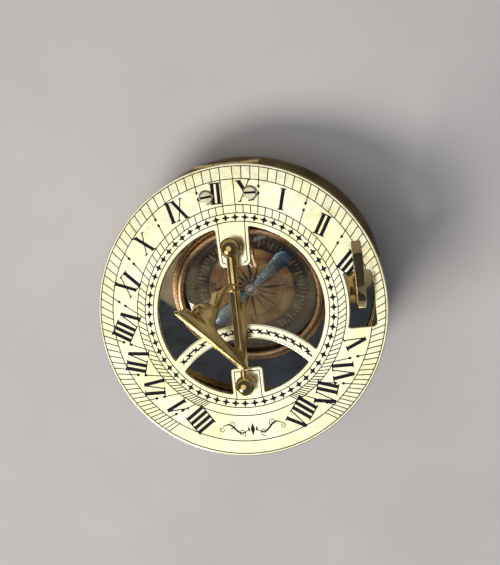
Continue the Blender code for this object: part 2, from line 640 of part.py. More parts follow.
def make_post(name, y, ball_radius, bore_radius, bore_side, lid):
    """A ball post with its nut; the ball is drilled on the side that faces the gnomon."""
    place = (0.0, DIAL_CENTRE + y, 0.0)
    item = add_object(name, lathe(post_profile(ball_radius), COARSE, closed=False), gold_brass(), lid, place)
    reach = bore_side * ball_radius * 1.5
    bore = rod(bore_radius, min(0.0, reach), max(0.0, reach), COARSE)
    turned(bore, "X", -90.0)
    bmesh.ops.translate(bore, vec=(0.0, 0.0, GNOMON_AXIS), verts=bore.verts)
    cut(item, add_object(name + "_bore", bore, steel(), item))
    nut_top = PLATE_BOTTOM - GAP
    nut = ring(POST_SHANK_RADIUS + GAP, POST_NUT_RADIUS, nut_top - POST_NUT_THICKNESS, nut_top, 6)
    add_object(name + "_nut", nut, pale_brass(), lid, place)


def pivot_rod(name, radius, ball_y, ball_radius, gnomon_end, lid):
    """Rod from inside a ball to the gnomon's end, with a thin trunnion that enters the gnomon."""
    way = 1.0 if gnomon_end > ball_y else -1.0
    start = ball_y + way * ball_radius * 0.25
    shoulder = gnomon_end - way * MOVING_GAP
    tip = gnomon_end + way * TRUNNION_LENGTH
    profile = [(0.0, start), (radius, start), (radius, shoulder), (TRUNNION_RADIUS, shoulder),
               (TRUNNION_RADIUS, tip), (0.0, tip)]
    bm = turned(lathe(profile, COARSE, closed=False), "X", -90.0)
    add_object(name, bm, gold_brass(), lid, (0.0, DIAL_CENTRE, GNOMON_AXIS))


def make_posts(lid):
    """Both ball posts and the rods that carry the gnomon."""
    make_post("north_post", NORTH_POST, NORTH_BALL_RADIUS, ROD_RADIUS + GAP, -1.0, lid)
    make_post("south_post", -SOUTH_POST, SOUTH_BALL_RADIUS, SOUTH_PIN_RADIUS + GAP, 1.0, lid)
    pivot_rod("north_pivot_rod", ROD_RADIUS, NORTH_POST, NORTH_BALL_RADIUS, GNOMON_NORTH, lid)
    pivot_rod("south_pivot_pin", SOUTH_PIN_RADIUS, -SOUTH_POST, SOUTH_BALL_RADIUS, -GNOMON_SOUTH, lid)


def gnomon_outline():
    """Gnomon in (along the axis, away from the axis): bar with a barb, scrolled arm, apex and style edge."""
    south = -GNOMON_SOUTH
    north = GNOMON_NORTH
    bar = GNOMON_BAR_HALF
    height = GNOMON_HEIGHT
    apex = south + height / STYLE_TAN
    barb = 0.46 * south
    curl = arc_points((apex - 0.2 * MM, height * 0.63), 2.1 * MM, -40.0, 140.0, 7)
    return ([(south, -bar), (barb - 1.1 * MM, -bar), (barb - 0.2 * MM, -bar - 2.0 * MM),
             (barb + 1.2 * MM, -bar - 1.5 * MM), (barb + 3.6 * MM, -bar - 0.7 * MM), (barb + 6.4 * MM, -bar),
             (north, -bar), (north, bar), (north + 1.4 * MM, bar + 1.3 * MM),
             (north + 2.1 * MM, height * 0.19), (north + 0.6 * MM, height * 0.34),
             (apex + 2.2 * MM, height * 0.39), (apex + 0.6 * MM, height * 0.43), (apex + 0.4 * MM, height * 0.53)]
            + curl
            + [(apex - 0.6 * MM, height * 0.77), (apex + 1.1 * MM, height * 0.85),
               (apex + 0.2 * MM, height * 0.92), (apex + 0.9 * MM, height * 0.98), (apex, height), (south, 0.0)])


def gnomon_window_outline():
    """Sail-shaped window between the bar, the arm and the body of the gnomon."""
    bar = GNOMON_BAR_HALF
    height = GNOMON_HEIGHT
    north = GNOMON_NORTH
    south = -GNOMON_SOUTH
    return [(0.67 * south, bar), (north - 0.4 * MM, bar), (north + 0.7 * MM, height * 0.11),
            (north - 0.3 * MM, height * 0.20), (north - 1.7 * MM, height * 0.25),
            (north - 4.3 * MM, height * 0.30), (north - 8.6 * MM, height * 0.40),
            (north - 10.0 * MM, height * 0.45), (north - 11.2 * MM, height * 0.44),
            (0.31 * south, height * 0.38), (0.44 * south, height * 0.29), (0.57 * south, height * 0.17)]


def make_gnomon(parent):
    """Folding gnomon, built lying flat to the west of its axis."""
    half = GNOMON_THICKNESS / 2
    outline = [(-h, v) for v, h in gnomon_outline()]
    item = add_object("gnomon", prism(outline, -half, half), gold_brass(), parent)
    window = [(-h, v) for v, h in gnomon_window_outline()]
    cut(item, add_object("gnomon_window", prism(window, -half * 2, half * 2), steel(), item))
    depth = TRUNNION_LENGTH + MOVING_GAP
    spans = {"north": (GNOMON_NORTH - depth, GNOMON_NORTH + depth),
             "south": (-GNOMON_SOUTH - depth, -GNOMON_SOUTH + depth)}
    for name, (low, high) in spans.items():
        bore = turned(rod(TRUNNION_RADIUS + PIN_CLEARANCE, low, high, COARSE), "X", -90.0)
        cut(item, add_object("gnomon_bore_" + name, bore, steel(), item))


# ---------------------------------------------------------------- latitude arc

def bracket_screw_spots():
    """Screws of the arc's bracket, beyond the two lugs."""
    reach = ARC_WIDTH / 2 + GAP + LUG_THICKNESS + 1.9 * MM
    return [(ARC_EAST, ARC_PIN_Y - reach), (ARC_EAST, ARC_PIN_Y + reach)]


def make_bracket():
    """Folded bracket with two lugs, its two screws and the pin that the arc turns on."""
    low = DECK_TOP + GAP
    inner = ARC_WIDTH / 2 + GAP
    reach = inner + LUG_THICKNESS + 3.6 * MM
    lug_top = ARC_PIN_Z + 1.9 * MM
    floor = low + BRACKET_THICKNESS
    outline = [(-reach, low), (reach, low), (reach, floor), (inner + LUG_THICKNESS, floor),
               (inner + LUG_THICKNESS, lug_top), (inner, lug_top), (inner, floor), (-inner, floor),
               (-inner, lug_top), (-inner - LUG_THICKNESS, lug_top), (-inner - LUG_THICKNESS, floor),
               (-reach, floor)]
    bm = side_prism(outline, LUG_HALF_WIDTH)
    item = add_object("arc_bracket", bm, gold_brass(), None, (ARC_EAST, ARC_PIN_Y, 0.0))
    bore = turned(rod(ARC_PIN_RADIUS + PIN_CLEARANCE, -reach * 2, reach * 2, COARSE), "X", -90.0)
    bmesh.ops.translate(bore, vec=(0.0, 0.0, ARC_PIN_Z), verts=bore.verts)
    cut(item, add_object("arc_bracket_bore", bore, steel(), item))
    for side, (x, y) in zip(("south", "north"), bracket_screw_spots()):
        drill(item, "arc_bracket_hole_" + side, (x - ARC_EAST, y - ARC_PIN_Y),
              BRACKET_SCREW_RADIUS + GAP, DECK_TOP - 1.0 * MM, floor + 1.0 * MM, item)
        screw("bracket_screw_" + side, (x, y), BRACKET_SCREW_RADIUS * 1.9, 0.8 * MM,
              BRACKET_SCREW_RADIUS, floor + GAP, DECK_BOTTOM - 0.5 * MM)
    length = inner + LUG_THICKNESS
    pin = turned(rod(ARC_PIN_RADIUS, -length, length, COARSE), "X", -90.0)
    add_object("arc_pin", pin, steel(), None, (ARC_EAST, ARC_PIN_Y, ARC_PIN_Z))


def make_arc(parent):
    """Latitude arc: a band about the hinge axis, built around its own foot pin."""
    centre = (HINGE_Y - ARC_PIN_Y, HINGE_Z - ARC_PIN_Z)
    inner = ARC_RADIUS - ARC_WIDTH / 2
    outer = ARC_RADIUS + ARC_WIDTH / 2
    foot = 180.0 + ARC_FOOT_ANGLE
    top = 180.0 - ARC_TOP_ANGLE
    outline = arc_points(centre, outer, foot, top, 28) + arc_points(centre, inner, top, foot, 28)
    bm = side_prism(outline, ARC_THICKNESS / 2)
    rims = [e for e in bm.edges if abs(e.verts[0].co.x - e.verts[1].co.x) < 1e-6]
    bmesh.ops.bevel(bm, geom=rims, offset=ARC_EDGE, segments=1, profile=0.5, affect="EDGES",
                    material=-1)
    item = add_object("latitude_arc", bm, gold_brass(), parent)
    bore = turned(rod(ARC_PIN_RADIUS + PIN_CLEARANCE, -ARC_WIDTH, ARC_WIDTH, COARSE), "X", -90.0)
    cut(item, add_object("latitude_arc_bore", bore, steel(), item))


# ---------------------------------------------------------------- assembly

def main():
    clear_scene()
    make_housing()
    make_bottom_cover()
    make_deck()
    make_bowl()
    make_card()
    make_pivot()
    make_glass()
    make_gasket()
    make_bezel()
    spin = empty("needle_axis", (0.0, 0.0, NEEDLE_HEIGHT), (0.0, 0.0, math.radians(-NEEDLE_BEARING)))
    make_needle(spin)
    make_needle_cap(spin)
    make_base_leaf()
    make_bracket()
    make_arc(empty("arc_axis", (ARC_EAST, ARC_PIN_Y, ARC_PIN_Z), (0.0, math.radians(ARC_LEAN), 0.0)))
    lid = empty("lid_axis", (0.0, HINGE_Y, HINGE_Z), (math.radians(-LID_ANGLE), 0.0, 0.0))
    make_lid_leaf(lid)
    make_dial(lid)
    make_posts(lid)
    make_gnomon(empty("gnomon_axis", (0.0, DIAL_CENTRE, GNOMON_AXIS),
                      (0.0, math.radians(GNOMON_LEAN), 0.0), lid))


main()
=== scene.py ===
"""Looks of a brass pocket sundial compass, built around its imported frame.

The box, its compass, the hinged hour ring with its engraving, the folding gnomon and the
latitude arc are each a class that holds its own sizes, builds its pieces and dresses them.
All lengths are metres in the frame's axes: +Z up, +Y towards the hinge, +X towards the arc.
"""

import json
import logging
import math
from collections.abc import Callable, Iterable, Sequence
from dataclasses import dataclass, field
from enum import Enum

import bmesh
import bpy
from mathutils import Matrix, Vector


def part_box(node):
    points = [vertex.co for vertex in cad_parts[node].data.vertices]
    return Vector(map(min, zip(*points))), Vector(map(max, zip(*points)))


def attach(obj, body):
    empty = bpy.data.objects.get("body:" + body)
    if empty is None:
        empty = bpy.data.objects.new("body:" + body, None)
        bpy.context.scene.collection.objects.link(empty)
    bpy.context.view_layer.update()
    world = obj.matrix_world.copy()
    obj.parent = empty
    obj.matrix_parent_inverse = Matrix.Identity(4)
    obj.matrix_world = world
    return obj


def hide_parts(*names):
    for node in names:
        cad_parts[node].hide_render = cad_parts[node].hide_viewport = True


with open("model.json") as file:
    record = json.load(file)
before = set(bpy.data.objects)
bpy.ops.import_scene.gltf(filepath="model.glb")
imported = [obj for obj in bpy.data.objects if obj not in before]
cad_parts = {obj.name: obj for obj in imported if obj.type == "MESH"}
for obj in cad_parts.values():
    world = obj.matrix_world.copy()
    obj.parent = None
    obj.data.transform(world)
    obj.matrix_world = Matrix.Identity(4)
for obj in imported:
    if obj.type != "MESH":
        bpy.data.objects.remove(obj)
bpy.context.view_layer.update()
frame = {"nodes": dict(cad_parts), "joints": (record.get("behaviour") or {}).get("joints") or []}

MM = 0.001
FULL_TURN = math.tau
MERGE = 2e-7   # vertices nearer than this are one
FINE = 128     # sides of a large turned piece
ROUND = 48     # sides of a small one
EVEN = (1.0, 1.0, 1.0)
ORIGIN = (0.0, 0.0)
LOG = logging.getLogger("sundial_compass")

Point = tuple[float, float]
Outline = list[Point]
Colour = tuple[float, float, float]
Shape = bmesh.types.BMesh
Socket = bpy.types.NodeSocket
Material = bpy.types.Material


# ------------------------------------------------------------------ finishes


class Grain(Enum):
    """How the surface of a metal was worked."""

    TURNED = "turned"
    BRUSHED = "brushed"
    POLISHED = "polished"


class Nodes:
    """A short way to wire one material's nodes."""

    def __init__(self, name: str) -> None:
        """Start an empty material with a Principled shader.

        Args:
            name: The material's name.
        """
        self.material = bpy.data.materials.new(name)
        self.material.use_nodes = True
        self.tree = self.material.node_tree
        self.shader = self.tree.nodes["Principled BSDF"]
        self.coordinates = self.tree.nodes.new("ShaderNodeTexCoord").outputs["Object"]

    def add(self, kind: str, **settings: object) -> bpy.types.Node:
        """Add a node and set its own properties.

        Args:
            kind: The node's type name.
            **settings: Properties to set on it.

        Returns:
            The new node.
        """
        node = self.tree.nodes.new(kind)
        for name, value in settings.items():
            setattr(node, name, value)
        return node

    def link(self, source: Socket, target: Socket) -> None:
        """Join an output to an input."""
        self.tree.links.new(source, target)

    def feed(self, source: Socket, name: str) -> None:
        """Join an output to one of the shader's inputs."""
        self.link(source, self.shader.inputs[name])

    def placed(self, stretch: Sequence[float], place: Matrix | None = None) -> Socket:
        """Object coordinates seen from a piece's own place and stretched.

        Args:
            stretch: Scale along the three axes.
            place: Where the pattern's origin and axes are, or None for the frame's own.

        Returns:
            The vector output.
        """
        vector = self.coordinates
        if place is not None:
            move = self.add("ShaderNodeMapping", vector_type="TEXTURE")
            move.inputs["Location"].default_value = place.to_translation()
            move.inputs["Rotation"].default_value = place.to_euler()
            self.link(vector, move.inputs["Vector"])
            vector = move.outputs["Vector"]
        scale = self.add("ShaderNodeMapping")
        scale.inputs["Scale"].default_value = stretch
        self.link(vector, scale.inputs["Vector"])
        return scale.outputs["Vector"]

    def noise(self, vector: Socket, scale: float, detail: float = 3.0) -> Socket:
        """A noise pattern from 0 to 1.

        Args:
            vector: Where to read it.
            scale: Its frequency, in cycles to a metre.
            detail: How many finer layers it has.

        Returns:
            The value output.
        """
        node = self.add("ShaderNodeTexNoise")
        node.inputs["Scale"].default_value = scale
        node.inputs["Detail"].default_value = detail
        self.link(vector, node.inputs["Vector"])
        return node.outputs["Fac"]

    def ramp(self, value: Socket, stops: Sequence[tuple[float, Colour]]) -> Socket:
        """Colours read along a value.

        Args:
            value: The value to read.
            stops: Pairs of position and colour, in rising order.

        Returns:
            The colour output.
        """
        node = self.add("ShaderNodeValToRGB")
        elements = node.color_ramp.elements
        while len(elements) < len(stops):
            elements.new(0.5)
        for element, (position, colour) in zip(elements, stops):
            element.position = position
            element.color = (*colour, 1.0)
        self.link(value, node.inputs["Fac"])
        return node.outputs["Color"]

    def span(self, value: Socket, low: float, high: float) -> Socket:
        """A 0.3 to 0.7 value spread over a new range.

        Args:
            value: The value to spread.
            low: What 0.3 becomes.
            high: What 0.7 becomes.

        Returns:
            The result output.
        """
        node = self.add("ShaderNodeMapRange")
        node.inputs["From Min"].default_value = 0.3
        node.inputs["From Max"].default_value = 0.7
        node.inputs["To Min"].default_value = low
        node.inputs["To Max"].default_value = high
        self.link(value, node.inputs["Value"])
        return node.outputs["Result"]

    def bump(self, heights: Iterable[tuple[Socket, float, float]]) -> None:
        """Chain bumps into the shader's normal.

        Args:
            heights: For each bump its height output, its strength and its depth in metres.
        """
        before = None
        for height, strength, depth in heights:
            node = self.add("ShaderNodeBump")
            node.inputs["Strength"].default_value = strength
            node.inputs["Distance"].default_value = depth
            self.link(height, node.inputs["Height"])
            if before is not None:
                self.link(before, node.inputs["Normal"])
            before = node.outputs["Normal"]
        if before is not None:
            self.link(before, self.shader.inputs["Normal"])


@dataclass(frozen=True)
class Metal:
    """A worked metal: its clean and toned colours, its gloss and its tool marks."""

    name: str
    clean: Colour
    toned: Colour
    gloss: tuple[float, float] = (0.12, 0.24)
    grain: Grain = Grain.POLISHED
    mark_depth: float = 0.004 * MM
    place: Matrix | None = None

    def material(self) -> Material:
        """Build the node material.

        Returns:
            The material, with tone, gloss and tool marks that vary over the surface.
        """
        nodes = Nodes(self.name)
        nodes.shader.inputs["Metallic"].default_value = 1.0
        plain = nodes.placed(EVEN, self.place)
        clouds = nodes.noise(plain, 90.0, 5.0)
        nodes.feed(nodes.ramp(clouds, ((0.34, self.toned), (0.62, self.clean))), "Base Color")
        handling = nodes.noise(plain, 420.0, 6.0)
        nodes.feed(nodes.span(handling, *self.gloss), "Roughness")
        nodes.bump(((self.marks(nodes), 0.35, self.mark_depth),
                    (nodes.noise(plain, 260.0, 2.0), 0.3, 0.01 * MM)))
        return nodes.material

    def marks(self, nodes: Nodes) -> Socket:
        """The height of the tool marks.

        Args:
            nodes: The material's nodes.

        Returns:
            The height output.
        """
        if self.grain is Grain.TURNED:
            rings = nodes.add("ShaderNodeTexWave", wave_type="RINGS", rings_direction="Z")
            rings.inputs["Scale"].default_value = 900.0
            rings.inputs["Distortion"].default_value = 3.0
            nodes.link(nodes.placed(EVEN, self.place), rings.inputs["Vector"])
            return rings.outputs["Fac"]
        if self.grain is Grain.BRUSHED:
            return nodes.noise(nodes.placed((12.0, 1.0, 12.0), self.place), 700.0, 4.0)
        return nodes.noise(nodes.placed((1.0, 5.0, 1.0), self.place), 1500.0, 4.0)


@dataclass(frozen=True)
class Enamel:
    """Wax or paint in the engraving, slightly uneven in tone."""

    name: str
    dark: Colour
    light: Colour
    roughness: float = 0.42

    def material(self) -> Material:
        """Build the node material."""
        nodes = Nodes(self.name)
        nodes.shader.inputs["IOR"].default_value = 1.25
        grain = nodes.noise(nodes.placed(EVEN), 900.0, 3.0)
        nodes.feed(nodes.ramp(grain, ((0.35, self.dark), (0.7, self.light))), "Base Color")
        nodes.feed(nodes.span(grain, self.roughness - 0.08, self.roughness + 0.12), "Roughness")
        nodes.bump(((grain, 0.3, 0.01 * MM),))
        return nodes.material


@dataclass(frozen=True)
class Paper:
    """The coppery card: a warm metallic ground with fine mottling and fibres."""

    name: str
    stops: tuple[Colour, Colour, Colour]

    def material(self) -> Material:
        """Build the node material."""
        nodes = Nodes(self.name)
        plain = nodes.placed(EVEN)
        mottle = nodes.noise(plain, 160.0, 6.0)
        nodes.feed(nodes.ramp(mottle, tuple(zip((0.3, 0.5, 0.72), self.stops))), "Base Color")
        nodes.shader.inputs["Metallic"].default_value = 0.55
        fibres = nodes.noise(nodes.placed((1.0, 6.0, 1.0)), 900.0, 3.0)
        nodes.feed(nodes.span(fibres, 0.32, 0.5), "Roughness")
        nodes.bump(((fibres, 0.25, 0.02 * MM),))
        return nodes.material


@dataclass(frozen=True)
class Crystal:
    """Clear flat glass with a trace of dust."""

    name: str

    def material(self) -> Material:
        """Build the node material: clear where it is seen through, bright where it reflects."""
        nodes = Nodes(self.name)
        plain = nodes.placed(EVEN)
        nodes.shader.inputs["Base Color"].default_value = (0.93, 0.97, 1.0, 1.0)
        nodes.shader.inputs["Metallic"].default_value = 1.0
        dust = nodes.noise(plain, 1400.0, 4.0)
        nodes.feed(nodes.span(dust, 0.01, 0.05), "Roughness")
        edge = nodes.add("ShaderNodeFresnel")
        edge.inputs["IOR"].default_value = 1.62
        speck = nodes.span(dust, 0.0, 0.035)
        total = nodes.add("ShaderNodeMath", operation="ADD", use_clamp=True)
        nodes.link(edge.outputs["Fac"], total.inputs[0])
        nodes.link(speck, total.inputs[1])
        nodes.feed(total.outputs["Value"], "Alpha")
        return nodes.material


@dataclass(frozen=True)
class Matt:
    """A plain non-metal surface with soft mottling, for the gasket and the floor."""

    name: str
    dark: Colour
    light: Colour
    roughness: tuple[float, float]
    scale: float

    def material(self) -> Material:
        """Build the node material."""
        nodes = Nodes(self.name)
        nodes.shader.inputs["IOR"].default_value = 1.15
        mottle = nodes.noise(nodes.placed(EVEN), self.scale, 5.0)
        nodes.feed(nodes.ramp(mottle, ((0.3, self.dark), (0.7, self.light))), "Base Color")
        nodes.feed(nodes.span(mottle, *self.roughness), "Roughness")
        nodes.bump(((mottle, 0.2, 0.02 * MM),))
        return nodes.material


# ------------------------------------------------------------------ shapes


def polar(radius: float, bearing: float) -> Point:
    """A point at a radius and a bearing in degrees clockwise from north."""
    angle = math.radians(bearing)
    return radius * math.sin(angle), radius * math.cos(angle)


def arc(centre: Point, radius: float, start: float, end: float, steps: int) -> Outline:
    """Points of an arc, both ends included.

    Args:
        centre: The arc's centre.
        radius: Its radius.
        start: First angle, in degrees anticlockwise from +X.
        end: Last angle.
        steps: Number of steps.

    Returns:
        The points.
    """
    angles = [math.radians(start + (end - start) * i / steps) for i in range(steps + 1)]
    return [(centre[0] + radius * math.cos(a), centre[1] + radius * math.sin(a)) for a in angles]


def circle(radius: float, sides: int = 24, centre: Point = ORIGIN) -> Outline:
    """The corners of a many-sided circle.

    Args:
        radius: Its radius.
        sides: How many sides it has.
        centre: Its centre.

    Returns:
        The corners, anticlockwise from +X.
    """
    return arc(centre, radius, 0.0, 360.0 - 360.0 / sides, sides - 1)


def rounded(outline: Outline, radius: float, sharpest: float = 155.0, steps: int = 4) -> Outline:
    """Round the sharp corners of a closed outline.

    Args:
        outline: The corners and curve points, in order.
        radius: Distance from a corner at which the rounding starts.
        sharpest: Corners wider than this many degrees are left alone.
        steps: Steps along each rounding.

    Returns:
        The outline with its corners rounded.
    """
    result: Outline = []
    for i, corner in enumerate(outline):
        here = Vector(corner)
        before = Vector(outline[i - 1]) - here
        after = Vector(outline[(i + 1) % len(outline)]) - here
        if math.degrees(before.angle(after)) > sharpest:
            result.append(corner)
            continue
        start = here + before.normalized() * min(radius, before.length * 0.48)
        end = here + after.normalized() * min(radius, after.length * 0.48)
        for k in range(steps + 1):
            t = k / steps
            point = start * (1 - t) ** 2 + here * 2 * t * (1 - t) + end * t ** 2
            result.append((point.x, point.y))
    return result


def lathe(profile: Sequence[Point], steps: int = FINE, closed: bool = True) -> Shape:
    """Spin a (radius, height) profile about Z.

    Args:
        profile: A closed section, or an open one that starts and ends on the axis.
        steps: Number of sides.
        closed: Whether the section closes on itself.

    Returns:
        The turned shape.
    """
    bm = bmesh.new()
    verts = [bm.verts.new((r, 0.0, z)) for r, z in profile]
    pairs = list(zip(verts, verts[1:]))
    if closed:
        pairs.append((verts[-1], verts[0]))
    edges = [bm.edges.new(pair) for pair in pairs]
    bmesh.ops.spin(bm, geom=verts + edges, cent=(0, 0, 0), axis=(0, 0, 1), angle=FULL_TURN,
                   steps=steps, use_merge=True, use_duplicate=False)
    bmesh.ops.remove_doubles(bm, verts=bm.verts, dist=MERGE)
    return bm


def crown_points(width: float, rise: float, base: float) -> Outline:
    """A quarter of an ellipse in (radius, height), from its rim up to the axis.

    Args:
        width: Its half width.
        rise: Its height.
        base: Height of its rim.

    Returns:
        The points.
    """
    angles = [math.radians(a) for a in range(0, 91, 10)]
    return [(width * math.cos(t), base + rise * math.sin(t)) for t in angles]


def turned_section(profile: Sequence[Point], radius: float) -> Outline:
    """A turned section with its corners softened."""
    return rounded(list(profile), radius, 160.0, 3)


def slab(outlines: Sequence[Outline], low: float, high: float, bevel: float = 0.0,
         rounds: int = 2) -> Shape:
    """A flat plate cut to outlines, with bevelled edges all round.

    Args:
        outlines: The outer outline and its holes.
        low: Height of its underside.
        high: Height of its top.
        bevel: Size of the bevel on every edge.
        rounds: Steps in the bevel.

    Returns:
        The plate.
    """
    curve = bpy.data.curves.new("outline", "CURVE")
    curve.dimensions = "2D"
    curve.fill_mode = "BOTH"
    curve.extrude = (high - low) / 2 - bevel
    curve.bevel_depth = bevel
    curve.bevel_resolution = rounds
    curve.offset = -bevel
    for outline in outlines:
        spline = curve.splines.new("POLY")
        spline.points.add(len(outline) - 1)
        for point, (x, y) in zip(spline.points, outline):
            point.co = (x, y, 0.0, 1.0)
        spline.use_cyclic_u = True
    bm = from_curve(curve)
    bmesh.ops.translate(bm, vec=(0.0, 0.0, (high + low) / 2), verts=bm.verts)
    return bm


def show(item: bpy.types.Object) -> None:
    """Put an object in the scene."""
    bpy.context.scene.collection.objects.link(item)


def from_curve(curve: bpy.types.Curve) -> Shape:
    """The mesh of a curve or text, which is then removed.

    Args:
        curve: The curve's data.

    Returns:
        Its mesh with doubles merged.
    """
    item = bpy.data.objects.new("outline", curve)
    show(item)
    evaluated = item.evaluated_get(bpy.context.evaluated_depsgraph_get())
    mesh = bpy.data.meshes.new_from_object(evaluated)
    bm = bmesh.new()
    bm.from_mesh(mesh)
    bmesh.ops.remove_doubles(bm, verts=bm.verts, dist=MERGE)
    bpy.data.objects.remove(item)
    bpy.data.curves.remove(curve)
    bpy.data.meshes.remove(mesh)
    return bm


def lettering(text: str, size: float) -> Shape:
    """Flat letters centred on the origin.

    Args:
        text: The letters or figures.
        size: Height of the font.

    Returns:
        The letters' faces at height 0.
    """
    words = bpy.data.curves.new("words", "FONT")
    words.body = text
    words.size = size
    words.align_x = "CENTER"
    words.align_y = "CENTER"
    words.resolution_u = 3
    return from_curve(words)


def joined(parts: Iterable[Shape]) -> Shape:
    """Several shapes as one bmesh.

    Args:
        parts: The shapes, which are freed.

    Returns:
        One bmesh with all of them.
    """
    whole = bmesh.new()
    for part in parts:
        absorb(whole, part)
    return whole


def absorb(whole: Shape, part: Shape) -> None:
    """Add a shape to another.

    Args:
        whole: The shape that grows.
        part: The shape to add, which is freed.
    """
    mesh = bpy.data.meshes.new("part")
    part.to_mesh(mesh)
    part.free()
    whole.from_mesh(mesh)
    bpy.data.meshes.remove(mesh)


def moved(bm: Shape, matrix: Matrix) -> Shape:
    """Move a shape by a matrix."""
    bmesh.ops.transform(bm, matrix=matrix, verts=bm.verts)
    return bm


def turn(axis: str, degrees: float) -> Matrix:
    """A turn about a main axis."""
    return Matrix.Rotation(math.radians(degrees), 4, axis)


def at(x: float, y: float, z: float) -> Matrix:
    """A move to a point."""
    return Matrix.Translation((x, y, z))


# Turns an outline drawn in (y, z) and extruded along Z into one that lies along X.
SIDEWAYS = Matrix(((0, 0, 1, 0), (1, 0, 0, 0), (0, 1, 0, 0), (0, 0, 0, 1)))


@dataclass
class Piece:
    """A finished piece: its shape, its finish, what it rides on and what it stands for."""

    name: str
    shape: Shape
    material: Material
    body: str
    slot: str
    place: Matrix = field(default_factory=Matrix)
    replaces: tuple[str, ...] = ()
    smooth_angle: float = 32.0

    def build(self) -> bpy.types.Object:
        """Make the object, dress it and fix it to its body.

        Returns:
            The object, at the origin with its place in its mesh.
        """
        bmesh.ops.recalc_face_normals(self.shape, faces=self.shape.faces)
        moved(self.shape, self.place)
        mesh = bpy.data.meshes.new(self.name)
        self.shape.to_mesh(mesh)
        self.shape.free()
        mesh.shade_smooth()
        mesh.set_sharp_from_angle(angle=math.radians(self.smooth_angle))
        mesh.materials.append(self.material)
        item = bpy.data.objects.new(self.name, mesh)
        show(item)
        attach(item, self.body)
        if self.replaces:
            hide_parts(*self.replaces)
        LOG.info("%s: %d faces on %s", self.name, len(mesh.polygons), self.body)
        return item


class Engraving:
    """Flat strokes in one plane, filled with wax and standing a hair proud of the metal."""

    def __init__(self) -> None:
        """Start with no strokes."""
        self.bm = bmesh.new()

    def polygon(self, points: Sequence[Point]) -> None:
        """Add a filled outline."""
        face = self.bm.faces.new([self.bm.verts.new((x, y, 0.0)) for x, y in points])
        face.normal_update()
        if face.normal.z < 0:
            face.normal_flip()

    def line(self, start: Point, end: Point, width: float) -> None:
        """Add a straight stroke."""
        a, b = Vector(start), Vector(end)
        side = (b - a).normalized().orthogonal() * (width / 2)
        self.polygon([a + side, a - side, b - side, b + side])

    def ribbon(self, points: Sequence[Point], width: Callable[[float], float]) -> None:
        """Add a curved stroke whose width changes along it.

        Args:
            points: The stroke's centre line.
            width: Its width at each share of its length, 0 to 1.
        """
        last = len(points) - 1
        sides: list[tuple[Point, Point]] = []
        for i, point in enumerate(points):
            ahead = Vector(points[min(i + 1, last)]) - Vector(points[max(i - 1, 0)])
            side = ahead.normalized().orthogonal() * (width(i / last) / 2)
            here = Vector(point)
            sides.append((here + side, here - side))
        for (a, b), (c, d) in zip(sides, sides[1:]):
            self.polygon([a, b, d, c])

    def band(self, centre: Point, radius: float, width: float, start: float, end: float,
             steps: int) -> None:
        """Add a stroke along an arc, by spinning its short end.

        Args:
            centre: The arc's centre.
            radius: Radius of the stroke's middle.
            width: The stroke's width.
            start: First angle, in degrees anticlockwise from +X.
            end: Last angle.
            steps: Steps along it.
        """
        a = math.radians(start)
        ends = [self.bm.verts.new((centre[0] + r * math.cos(a), centre[1] + r * math.sin(a), 0.0))
                for r in (radius - width / 2, radius + width / 2)]
        edge = self.bm.edges.new(ends)
        full = abs(end - start) >= 360.0
        bmesh.ops.spin(self.bm, geom=[*ends, edge], cent=(*centre, 0.0), axis=(0, 0, 1),
                       angle=math.radians(end - start), steps=steps, use_merge=full,
                       use_duplicate=False)

    def letters(self, text: str, size: float, place: Matrix) -> None:
        """Add letters at a place in the plane."""
        absorb(self.bm, moved(lettering(text, size), place))

    def raised(self, base: float, depth: float) -> Shape:
        """Give the strokes their thickness.

        Args:
            base: Height of the strokes' underside.
            depth: Their thickness.

        Returns:
            The strokes as closed shapes.
        """
        strokes = bmesh.ops.extrude_face_region(self.bm, geom=list(self.bm.faces))
        tops = [v for v in strokes["geom"] if isinstance(v, bmesh.types.BMVert)]
        bmesh.ops.translate(self.bm, vec=(0.0, 0.0, depth), verts=tops)
        bmesh.ops.translate(self.bm, vec=(0.0, 0.0, base), verts=self.bm.verts)
        return self.bm


# ------------------------------------------------------------------ the frame


def joint(name: str) -> dict:
    """The record's joint of that name."""
    return next(j for j in frame["joints"] if j["name"] == name)


def lid_place() -> Matrix:
    """The lid's own frame: its origin on the hinge axis and its z along the plate's normal."""
    _, north, down = joint("gnomon_fold")["axis"]
    return at(*joint("lid_hinge")["pos_m"]) @ Matrix.Rotation(math.atan2(down, north), 4, "X")


ARC_LEAN = 5.2  # degrees that the latitude arc leans out from upright


def arc_place() -> Matrix:
    """The latitude arc's own frame, on its foot pin and leaning with it."""
    return at(*joint("arc_fold")["pos_m"]) @ turn("Y", ARC_LEAN)


LID = lid_place()
DIAL_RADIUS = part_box("dial_plate")[1].x
DIAL = LID @ at(0.0, -joint("lid_hinge")["pos_m"][1], 0.0)
KNUCKLE_RADIUS = 2.4 * MM
PLATE_BOTTOM = KNUCKLE_RADIUS + 0.3 * MM
PLATE_TOP = PLATE_BOTTOM + 2.2 * MM
ENGRAVING_RISE = 0.03 * MM
ENGRAVING_DEPTH = 0.08 * MM
POST_NORTH = 22.0 * MM
POST_SOUTH = -25.2 * MM


